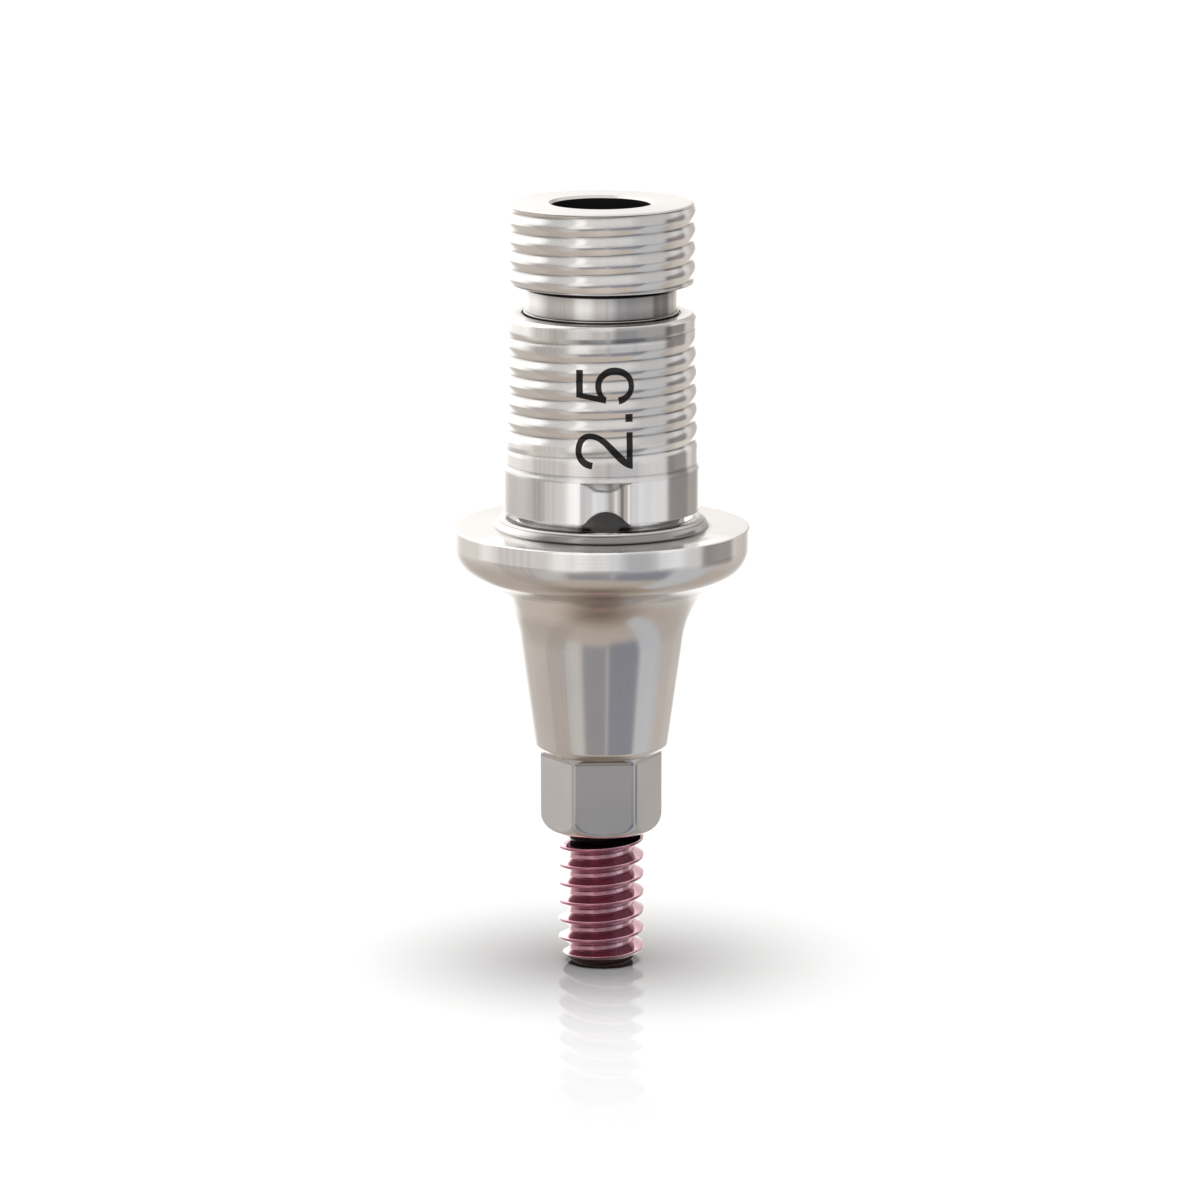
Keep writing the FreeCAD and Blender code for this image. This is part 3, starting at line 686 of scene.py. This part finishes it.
def shoulder_rows():
    """Shoulder, moat, neck and the underside of the upper length."""
    top = SHOULDER_Z - SHOULDER_EDGE
    return rounded([
        (land_r(top), top - 0.1, 0),
        (land_r(top), top, 0.025),
        (LAND_TOP_R - SHOULDER_EDGE, SHOULDER_Z, 0.03),
        (MOAT_R, SHOULDER_Z, 0.01),
        (MOAT_R - 0.01, SHOULDER_Z - MOAT_DEPTH, 0.01),
        (NECK_FOOT_R, SHOULDER_Z - MOAT_DEPTH, 0.01),
        (NECK_FOOT_R, SHOULDER_Z + 0.02, 0),
        (NECK_FOOT_R, SHOULDER_Z + 0.025, 0),
        (NECK_FOOT_R, SHOULDER_Z + 0.035, 0.006),
        (NECK_R, SHOULDER_Z + 0.055, 0.012),
        *((NECK_R, SHOULDER_Z + up, 0) for up in NECK_LOW_RINGS),
        *((NECK_R, UPPER_BOTTOM_Z - down, 0) for down in NECK_HIGH_RINGS),
        (NECK_R, UPPER_BOTTOM_Z, 0.03),
        (UPPER_R - UPPER_EDGE, UPPER_BOTTOM_Z, 0.03),
        (UPPER_R, UPPER_BOTTOM_Z + UPPER_EDGE, 0),
    ])[1:-1]


def upper_rows(angle):
    """Upper length, whose groove runs out through both of its ends."""
    edges = rounded([
        (UPPER_R - UPPER_EDGE, UPPER_BOTTOM_Z, 0),
        (UPPER_R, UPPER_BOTTOM_Z + UPPER_EDGE, 0.03),
        (UPPER_R, TOP_Z - UPPER_EDGE, 0.04),
        (UPPER_R - UPPER_EDGE, TOP_Z, 0),
    ], WIDE_EDGE_STEPS)[1:-1]
    half = len(edges) // 2
    wall = edges[:half] + straight(edges[half - 1], edges[half])[1:] + edges[half:]
    rows = []
    for r, z in wall:
        cut = groove_depth(z, angle, UPPER_GROOVE_Z, UPPER_GROOVE_HALF_WIDTH)
        rows.append((soft_min(r, UPPER_R - cut, UPPER_EDGE_SOFT), z))
    return rows


def top_rows():
    """Top face with the channel's mouth, then the channel, the pocket and the seat down to the screw hole."""
    return rounded([
        (UPPER_R, TOP_Z - UPPER_EDGE, 0),
        (UPPER_R - UPPER_EDGE, TOP_Z, 0.045),
        (CHANNEL_R + MOUTH_CHAMFER, TOP_Z, 0.012),
        (CHANNEL_R, TOP_Z - MOUTH_CHAMFER, 0.012),
        (CHANNEL_R, POCKET_TOP_Z, 0.03),
        (POCKET_R, SEAT_Z, 0.02),
        (THROUGH_R, SEAT_Z - POCKET_R + THROUGH_R, 0.02),
        (THROUGH_R, HEX_BOTTOM_Z + 0.01, 0),
    ])[1:]


def body_profile(angle):
    return (hexagon_rows(angle) + cuff_rows() + bead_rows() + band_rows(angle) + lower_rows(angle)
            + shoulder_rows() + upper_rows(angle) + top_rows())


def thread_r(z, angle):
    """Radius of the thread at a place: straight flanks between a flat root and a narrow crest."""
    share = degrees_from(angle, 0) / 360
    turn = round((z - THREAD_VALLEY_Z) / THREAD_PITCH - share) + share
    away = abs(z - THREAD_VALLEY_Z - turn * THREAD_PITCH)
    half_mouth = (THREAD_PITCH - THREAD_CREST_FLAT) / 2
    half_root = THREAD_ROOT_FLAT / 2
    flank = mix(THREAD_ROOT_R, THREAD_R, (away - half_root) / (half_mouth - half_root))
    return soft_min(soft_max(flank, THREAD_ROOT_R, THREAD_ROOT_SOFT), THREAD_R, THREAD_CREST_SOFT)


def screw_profile(angle):
    """Tip, thread, shank, head and driver socket, from near the axis below to near the axis above."""
    run_out = THREAD_R - SHANK_R
    cone_foot_z = HEAD_BOTTOM_Z - HEAD_R + SHANK_R
    chamfer_end_z = SCREW_TIP_Z + TIP_CHAMFER
    tip = rounded([
        (TIP_FLAT_R, SCREW_TIP_Z, 0),
        (THREAD_R - TIP_CHAMFER, SCREW_TIP_Z, 0.03),
        (THREAD_R, chamfer_end_z, 0),
    ])
    corners = [*tip[-2:], (THREAD_R, THREAD_TOP_Z - run_out), (SHANK_R, THREAD_TOP_Z)]
    blank = tip[1:-2]
    for start, end in zip(corners, corners[1:]):
        blank += straight(start, end, THREAD_STEP)
    rows = tip[:1] + [(soft_min(r, thread_r(z, angle), THREAD_BLANK_SOFT), z) for r, z in blank]
    rows += rounded([
        (SHANK_R, THREAD_TOP_Z - 0.1, 0),
        (SHANK_R, cone_foot_z, 0.03),
        (HEAD_R, HEAD_BOTTOM_Z, 0.02),
        (HEAD_R, SCREW_TOP_Z - HEAD_EDGE, 0.02),
        (HEAD_R - HEAD_EDGE, SCREW_TOP_Z, 0.02),
        (HEAD_R - HEAD_EDGE - 0.1, SCREW_TOP_Z, 0),
    ])[1:-1]
    socket_r = SOCKET_FLAT_R * flat_share(angle, HEX_SIDES)
    return rows + rounded([
        (HEAD_R - HEAD_EDGE, SCREW_TOP_Z, 0),
        (socket_r, SCREW_TOP_Z, 0.015),
        (socket_r, SOCKET_FLOOR_Z, 0.02),
        (SOCKET_FLAT_R - 0.02, SOCKET_FLOOR_Z, 0.005),
        (0.05, SOCKET_FLOOR_Z - SOCKET_TIP_DEPTH, 0),
    ])[1:]


def ring_angles(step, fine_step=None, fine_span=0):
    """Angles in radians round the axis that fall on the edges of a hexagon, finer near the flute."""
    corner = math.degrees(math.acos(HEX_FLAT_R / HEX_CORNER_R))
    angles = []
    for side in range(HEX_SIDES):
        middle = side * 360 / HEX_SIDES + FRONT
        stops = [-corner, corner]
        if side == 0 and fine_step:
            stops = [-corner, -fine_span, fine_span, corner]
        stops.append(360 / HEX_SIDES - corner)
        for start, end in zip(stops, stops[1:]):
            fine = fine_step and side == 0 and start == -fine_span
            count = max(2, round((end - start) / (fine_step if fine else step)))
            angles += [math.radians(middle + mix(start, end, i / count)) for i in range(count)]
    return angles


def inside_range(values, limits, soft):
    """One inside the limits, zero outside, with an even change about as wide as soft at both ends."""
    rise = np.clip((values - limits[0]) / soft + 0.5, 0, 1)
    return rise * np.clip((limits[1] - values) / soft + 0.5, 0, 1)


def painted_light_shares(grid, normals, light_zones):
    """Share of its colour that each place keeps as painted light and shade: as each zone gives, and less, as
    painted shade, in all hollows.
    """
    r = np.hypot(grid[..., 0], grid[..., 1])
    z = grid[..., 2]
    side = (np.degrees(np.arctan2(grid[..., 1], grid[..., 0])) - FRONT + 180) % 360 - 180
    share = np.ones(r.shape)
    for place, sides, sides_soft, light_share in light_zones:
        reach = inside_range(z, place["z"], place.get("soft", PLACE_SOFT))
        reach *= inside_range(r, place["r"], RADIUS_SOFT) * inside_range(side, sides, sides_soft)
        reach *= inside_range(normals[..., 2], place.get("up", ANY_WAY), UP_SOFT)
        share *= 1 + (light_share - 1) * reach
    before, after = np.roll(grid, 1, 0) - grid, np.roll(grid, -1, 0) - grid
    lengths = np.linalg.norm(before, axis=-1), np.linalg.norm(after, axis=-1)
    bend = before / lengths[0][..., None] + after / lengths[1][..., None]
    hollow = np.sum(bend * normals, axis=-1) * 2 / (lengths[0] + lengths[1])
    return share * (1 - HOLLOW_SHADE * np.clip(hollow / HOLLOW_BEND, 0, 1))


def new_object(name, data):
    made = bpy.data.objects.new(name, data)
    bpy.context.collection.objects.link(made)
    return made


def turned_piece(name, profile, angles, light_zones, metals, axis_ends=None):
    """
    Piece with a profile at each angle, its painted light and shade, and its metals. The profile is a closed
    loop, or both its ends are joined to the axis, at the heights of axis_ends.
    """
    rings = np.array([profile(angle) for angle in angles]).transpose(1, 0, 2)
    turn = np.array(angles)
    grid = np.stack([rings[..., 0] * np.cos(turn), rings[..., 0] * np.sin(turn), rings[..., 1]], axis=-1) * MM
    rows, cols = grid.shape[:2]
    up = np.roll(grid, -1, 0) - np.roll(grid, 1, 0)
    if axis_ends:
        up[0] = grid[1] - grid[0]
        up[-1] = grid[-1] - grid[-2]
    round_axis = np.roll(grid, -1, 1) - np.roll(grid, 1, 1)
    normals = np.cross(round_axis, up)
    normals /= np.linalg.norm(normals, axis=-1, keepdims=True)
    finish = painted_light_shares(grid / MM, normals, light_zones).reshape(-1).tolist()
    verts = grid.reshape(-1, 3).tolist()
    normals = normals.reshape(-1, 3).tolist()
    faces = []
    for i in range(rows - 1 if axis_ends else rows):
        low, high = i * cols, (i + 1) % rows * cols
        for j in range(cols):
            k = (j + 1) % cols
            faces.append((low + j, low + k, high + k, high + j))
    if axis_ends:
        for ring, way, z in ((0, -1, axis_ends[0]), (rows - 1, 1, axis_ends[1])):
            tip = len(verts)
            verts.append((0, 0, z * MM))
            normals.append((0, 0, way))
            finish.append(1)
            for j in range(cols):
                pair = (ring * cols + j, ring * cols + (j + 1) % cols)
                faces.append((*pair, tip) if way > 0 else (*reversed(pair), tip))
    mesh = bpy.data.meshes.new(name)
    mesh.from_pydata(verts, [], faces)
    mesh.polygons.foreach_set("use_smooth", [True] * len(faces))
    mesh.normals_split_custom_set_from_vertices(normals)
    mesh.attributes.new("finish", "FLOAT", "POINT").data.foreach_set("value", finish)
    for made in metals:
        mesh.materials.append(made)
    return new_object(name, mesh)


def radius_and_height(polygon):
    """Where a face's middle lies, in millimetres."""
    centre = polygon.center
    return math.hypot(centre.x, centre.y) / MM, centre.z / MM


def outline(items):
    """Closed outline from points and, for a curve, triples of two controls and an end."""
    points = []
    for item in items:
        if not isinstance(item[0], tuple):
            points.append(item)
            continue
        corners = (points[-1], *item)
        for step in range(1, CURVE_STEPS + 1):
            t = step / CURVE_STEPS
            weights = ((1 - t) ** 3, 3 * t * (1 - t) ** 2, 3 * t * t * (1 - t), t ** 3)
            points.append(tuple(sum(w * p[i] for w, p in zip(weights, corners)) for i in (0, 1)))
    if math.dist(points[0], points[-1]) < SAME_PLACE:
        points.pop()
    return points


def flat_mark():
    """The size number lying flat: points, faces small enough to bend, and pairs of points along the rim."""
    bm = bmesh.new()
    for shift, items in FIGURES:
        points = [((shift + x) / 100 * MARK_HEIGHT, y / 100 * MARK_HEIGHT, 0) for x, y in outline(items)]
        ring = [bm.verts.new(point) for point in points]
        edges = [bm.edges.new(pair) for pair in zip(ring, ring[1:] + ring[:1])]
        bmesh.ops.triangle_fill(bm, edges=edges, use_beauty=True)
    for axis, step, way in ((0, CUT_STEP, (1, 0, 0)), (1, CUT_STEP_ROUND, (0, 1, 0))):
        reach = max(vert.co[axis] for vert in bm.verts)
        for count in range(1, int(reach / step) + 1):
            place = [count * step * part for part in way]
            geometry = bm.verts[:] + bm.edges[:] + bm.faces[:]
            bmesh.ops.bisect_plane(bm, geom=geometry, dist=SAME_PLACE, plane_co=place, plane_no=way)
    bm.normal_update()
    for face in bm.faces:
        if face.normal.z < 0:
            face.normal_flip()
    bm.verts.index_update()
    points = [(vert.co.x, vert.co.y) for vert in bm.verts]
    faces = [[vert.index for vert in face.verts] for face in bm.faces]
    loops = [edge.link_loops[0] for edge in bm.edges if edge.is_boundary]
    rim = [(loop.vert.index, loop.link_loop_next.vert.index) for loop in loops]
    bm.free()
    return points, faces, rim


def mark_piece(name):
    """The size number as a thin dark layer that follows the grooved wall under it."""
    points, front, rim = flat_mark()
    verts = []
    for lift in (MARK_LIFT, -MARK_SINK):
        for along, up in points:
            z = MARK_START_Z + along
            x = MARK_BASELINE_X - up
            r = lower_wall_r(z, -math.acos(x / land_r(z))) + lift
            verts.append((x * MM, -math.sqrt(r * r - x * x) * MM, z * MM))
    count = len(points)
    back = [[index + count for index in reversed(face)] for face in front]
    sides = [[b, a, a + count, b + count] for a, b in rim]
    mesh = bpy.data.meshes.new(name)
    mesh.from_pydata(verts, [], front + back + sides)
    mesh.polygons.foreach_set("use_smooth", [True] * len(front) + [False] * (len(back) + len(sides)))
    return new_object(name, mesh)


class Nodes:
    """Shader nodes of one material or world, with short calls to add and join them."""

    def __init__(self, owner):
        owner.use_nodes = True
        self.tree = owner.node_tree

    def add(self, kind, settings=None, values=(), **inputs):
        """A new node with its settings, values for its first inputs, and values for inputs by name."""
        made = self.tree.nodes.new("ShaderNode" + kind)
        for name, value in (settings or {}).items():
            setattr(made, name, value)
        for value, socket in zip(values, made.inputs):
            self.join(value, socket)
        for name, value in inputs.items():
            self.join(value, made.inputs[name.replace("_", " ")])
        return made

    def join(self, value, socket):
        if isinstance(value, bpy.types.NodeSocket):
            self.tree.links.new(value, socket)
        else:
            socket.default_value = value

    def math(self, operation, *values):
        return self.add("Math", {"operation": operation}, values).outputs[0]

    def noise(self, place, scale):
        return self.add("TexNoise", Vector=place, Scale=scale, Detail=NOISE_DETAIL).outputs["Fac"]

    def ramp(self, value, low, high, low_out=0.0, high_out=1.0):
        """A smooth step of a value, from one output to another."""
        smooth = {"interpolation_type": "SMOOTHSTEP"}
        return self.add("MapRange", smooth, (value, low, high, low_out, high_out)).outputs["Result"]

    def mixed(self, share, a, b):
        """A colour between two others. The node's colour sockets are its inputs 6 and 7 and its output 2."""
        made = self.add("Mix", {"data_type": "RGBA"}, [share])
        self.join(a, made.inputs[6])
        self.join(b, made.inputs[7])
        return made.outputs[2]


def metal(name, tone, worn_tone, roughness, anisotropy, line_depth):
    """Turned metal: fine rings, patches of slightly different tone, highlights drawn along the axis, and
    painted shade and highlights from each place's painted light share.
    """
    material = bpy.data.materials.new(name)
    nodes = Nodes(material)
    shader = nodes.tree.nodes["Principled BSDF"]
    where = nodes.add("TexCoord").outputs["Object"]
    x, y, z = nodes.add("SeparateXYZ", Vector=where).outputs
    squares = nodes.math("MULTIPLY_ADD", x, x, nodes.math("MULTIPLY", y, y))
    radius = nodes.math("MULTIPLY", nodes.math("SQRT", squares), 1 / MM)
    turned = nodes.add("CombineXYZ", X=radius, Z=nodes.math("MULTIPLY", z, 1 / MM)).outputs[0]
    lines = nodes.noise(turned, RING_SCALE)
    patches = nodes.noise(where, PATCH_SCALE / MM)
    painted_share = nodes.add("Attribute", {"attribute_name": "finish"}).outputs["Fac"]
    own = nodes.mixed(nodes.ramp(patches, *PATCH_RANGE), (*tone, 1), (*worn_tone, 1))
    # A share below one darkens the metal as painted shade, and the part of it above one whitens it as a
    # painted highlight.
    shaded_colour = nodes.mixed(painted_share, (0, 0, 0, 1), own)
    lit_colour = nodes.mixed(nodes.math("SUBTRACT", painted_share, 1), shaded_colour, (1, 1, 1, 1))
    nodes.join(lit_colour, shader.inputs["Base Color"])
    spread = nodes.math("MULTIPLY_ADD", lines, ROUGHNESS_SPREAD, roughness - ROUGHNESS_SPREAD / 2)
    nodes.join(spread, shader.inputs["Roughness"])
    bump = nodes.add("Bump", Strength=1.0, Distance=line_depth * MM, Height=lines)
    nodes.join(bump.outputs[0], shader.inputs["Normal"])
    tangent = nodes.add("Tangent", {"direction_type": "RADIAL", "axis": "Z"})
    nodes.join(tangent.outputs[0], shader.inputs["Tangent"])
    shader.inputs["Metallic"].default_value = 1
    shader.inputs["Anisotropic"].default_value = anisotropy
    shader.inputs["Anisotropic Rotation"].default_value = AXIAL_HIGHLIGHTS
    return material


def mark_material():
    """Dark, slightly uneven layer."""
    material = bpy.data.materials.new("dark_mark")
    nodes = Nodes(material)
    shader = nodes.tree.nodes["Principled BSDF"]
    grain = nodes.noise(nodes.add("TexCoord").outputs["Object"], MARK_GRAIN_SCALE / MM)
    dark, pale = MARK_TONES
    nodes.join(nodes.mixed(grain, (*dark, 1), (*pale, 1)), shader.inputs["Base Color"])
    nodes.join(nodes.math("MULTIPLY_ADD", grain, MARK_SPREAD, MARK_ROUGHNESS), shader.inputs["Roughness"])
    shader.inputs["Specular IOR Level"].default_value = MARK_SPECULAR
    return material


def floor_material():
    """Plain pale cover with a gloss that fades with the distance from the axis."""
    material = bpy.data.materials.new("floor")
    nodes = Nodes(material)
    cover = nodes.add("BsdfDiffuse", Color=FLOOR_TONE)
    gloss = nodes.add("BsdfAnisotropic", Color=(1, 1, 1, 1), Roughness=FLOOR_GLOSS_ROUGHNESS)
    place = nodes.add("NewGeometry").outputs["Position"]
    level = nodes.add("VectorMath", {"operation": "MULTIPLY"}, (place, (1, 1, 0))).outputs[0]
    away = nodes.add("VectorMath", {"operation": "LENGTH"}, [level]).outputs["Value"]
    fade = nodes.add("MapRange", Value=away, From_Min=FLOOR_GLOSS_NEAR * MM, From_Max=FLOOR_GLOSS_FAR * MM,
                     To_Min=FLOOR_GLOSS, To_Max=0.0)
    mixed = nodes.add("MixShader", None, (fade.outputs[0], cover.outputs[0], gloss.outputs[0]))
    nodes.join(mixed.outputs[0], nodes.tree.nodes["Material Output"].inputs["Surface"])
    return material


def floor_piece():
    mesh = bpy.data.meshes.new("floor")
    sides = ((-1, -1), (1, -1), (1, 1), (-1, 1))
    corners = [(x * FLOOR_HALF, y * FLOOR_HALF, SCREW_TIP_Z * MM) for x, y in sides]
    mesh.from_pydata(corners, [], [(0, 1, 2, 3)])
    mesh.materials.append(floor_material())
    made = new_object("floor", mesh)
    made.visible_glossy = False
    return made


def photo_camera():
    """Camera with the photograph's frame, which looks at the axis from a little above."""
    data = bpy.data.cameras.new("camera")
    data.sensor_width = SENSOR_WIDTH
    data.lens = FOCAL_PIXELS / PHOTO_SIZE * SENSOR_WIDTH
    data.shift_x = -AXIS_OFFSET_PIXELS / PHOTO_SIZE
    data.clip_start, data.clip_end = CAMERA_CLIP
    made = new_object("camera", data)
    turn = math.radians(CAMERA_TURN)
    away = CAMERA_DISTANCE * MM
    made.location = (away * math.sin(turn), -away * math.cos(turn), CAMERA_HEIGHT * MM)
    made.rotation_euler = (math.radians(90 - CAMERA_TILT), 0, turn)
    return made


def studio_world():
    """Soft light from all round, with boxes, flags, lines and streaks that only the object mirrors."""
    world = bpy.data.worlds.new("studio")
    nodes = Nodes(world)
    way = nodes.add("SeparateXYZ", Vector=nodes.add("TexCoord").outputs["Generated"]).outputs
    elevation = nodes.math("DEGREES", nodes.math("ARCSINE", way["Z"]))
    azimuth = nodes.math("DEGREES", nodes.math("ARCTAN2", way["Y"], way["X"]))
    light = (*ROOM[0][1], 1)
    for (low, _), (high, colour) in zip(ROOM, ROOM[1:]):
        share = nodes.add("MapRange", Value=elevation, From_Min=low, From_Max=high).outputs["Result"]
        light = nodes.mixed(share, light, (*colour, 1))
    for middle, half, edge, low, high, fade, colour in BOXES:
        turned = nodes.math("SUBTRACT", azimuth, middle + STUDIO_FRONT)
        away = nodes.math("ABSOLUTE", nodes.math("WRAP", turned, 180, -180))
        across = nodes.ramp(away, half - edge / 2, half + edge / 2, 1, 0)
        above = nodes.ramp(elevation, low - fade / 2, low + fade / 2)
        below = nodes.ramp(elevation, high - fade / 2, high + fade / 2, 1, 0)
        share = nodes.math("MULTIPLY", nodes.math("MULTIPLY", across, above), below)
        light = nodes.mixed(share, light, (*colour, 1))
    streaks = nodes.noise(nodes.add("CombineXYZ", X=azimuth).outputs[0], STREAK_SCALE)
    strength = nodes.math("MULTIPLY_ADD", streaks, 2 * STREAK_STRENGTH, 1 - STREAK_STRENGTH)
    per_degree = 2 * math.pi / LINE_PITCH
    start = math.pi / 2 - (LINE_AT + STUDIO_FRONT) * per_degree
    wave = nodes.math("SINE", nodes.math("MULTIPLY_ADD", azimuth, per_degree, start))
    line = nodes.math("POWER", nodes.math("MULTIPLY_ADD", wave, 0.5, 0.5), LINE_SHARPNESS)
    from_lines = nodes.math("ABSOLUTE", nodes.math("SUBTRACT", azimuth, LINES_MIDDLE + STUDIO_FRONT))
    depth = nodes.ramp(from_lines, LINES_HALF - LINES_EDGE, LINES_HALF + LINES_EDGE, LINES_STRENGTH, 0)
    between_lines = nodes.math("SUBTRACT", 1, nodes.math("MULTIPLY", line, depth))
    strength = nodes.math("MULTIPLY", strength, between_lines)
    # The backdrop itself is plain white.
    seen = nodes.add("LightPath").outputs["Is Camera Ray"]
    strength = nodes.math("ADD", nodes.math("MULTIPLY", strength, nodes.math("SUBTRACT", 1, seen)), seen)
    background = nodes.tree.nodes["Background"]
    nodes.join(nodes.mixed(seen, light, (1, 1, 1, 1)), background.inputs["Color"])
    nodes.join(strength, background.inputs["Strength"])
    return world


def overhead_lamp():
    """Wide overhead light, which the object doesn't mirror."""
    data = bpy.data.lights.new("overhead", "SUN")
    data.angle = math.radians(LAMP_WIDTH)
    data.energy = LAMP_ENERGY
    made = new_object("overhead", data)
    made.visible_glossy = False


titanium = [metal(*row) for row in BODY_METALS]
body_angles = ring_angles(BODY_DEGREES, FLUTE_DEGREES, FLUTE_SPAN)
body = turned_piece("abutment", body_profile, body_angles, BODY_LIGHT_ZONES, titanium)
# Faces inside the channel get the near-black metal of painted shade, and those below the cone the milled
# metal
for polygon in body.data.polygons:
    r, z = radius_and_height(polygon)
    if r < BORE_SHADE_R and z > BORE_SHADE_START_Z:
        polygon.material_index = BORE_SHADE
    elif z < MILLED_END_Z:
        polygon.material_index = MILLED
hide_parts(BODY_NODE)
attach(body, "abutment")

anodised = [metal(*row) for row in SCREW_METALS]
for index, settings in ((PINK, ANODISED_COAT), (LIT_FLANKS, ANODISED_COAT), (SHADED, SHADED_COVER)):
    shader_inputs = anodised[index].node_tree.nodes["Principled BSDF"].inputs
    for name, value in settings.items():
        shader_inputs[name].default_value = value
screw = turned_piece("clamping_screw", screw_profile, ring_angles(SCREW_DEGREES), SCREW_LIGHT_ZONES, anodised,
                     (SCREW_TIP_Z, SOCKET_END_Z))
# Painted shade: the near-black metal on the tip's chamfer and in the valley under the hexagon. Painted light:
# the brighter metal on the thread's upward flanks.
for polygon in screw.data.polygons:
    r, z = radius_and_height(polygon)
    if z < SHADED_TIP_Z or SHADED_TOP_Z < z < SHADED_END_Z and r < SHADED_R:
        polygon.material_index = SHADED
    elif z < HEX_BOTTOM_Z and polygon.normal.z > LIT_FLANKS_UP and THREAD_ROOT_R < r < LIT_FLANKS_R:
        polygon.material_index = LIT_FLANKS
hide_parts(SCREW_NODE)
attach(screw, "screw")

mark = mark_piece("size_mark")
mark.data.materials.append(mark_material())
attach(mark, "abutment")

floor_piece()
bpy.context.scene.camera = photo_camera()
world = studio_world()
bpy.context.scene.world = world
# The floor and the object are lit by the lamp, and the world is only mirrored.
world.cycles_visibility.diffuse = False
bpy.context.scene.view_settings.view_transform = "Standard"
overhead_lamp()
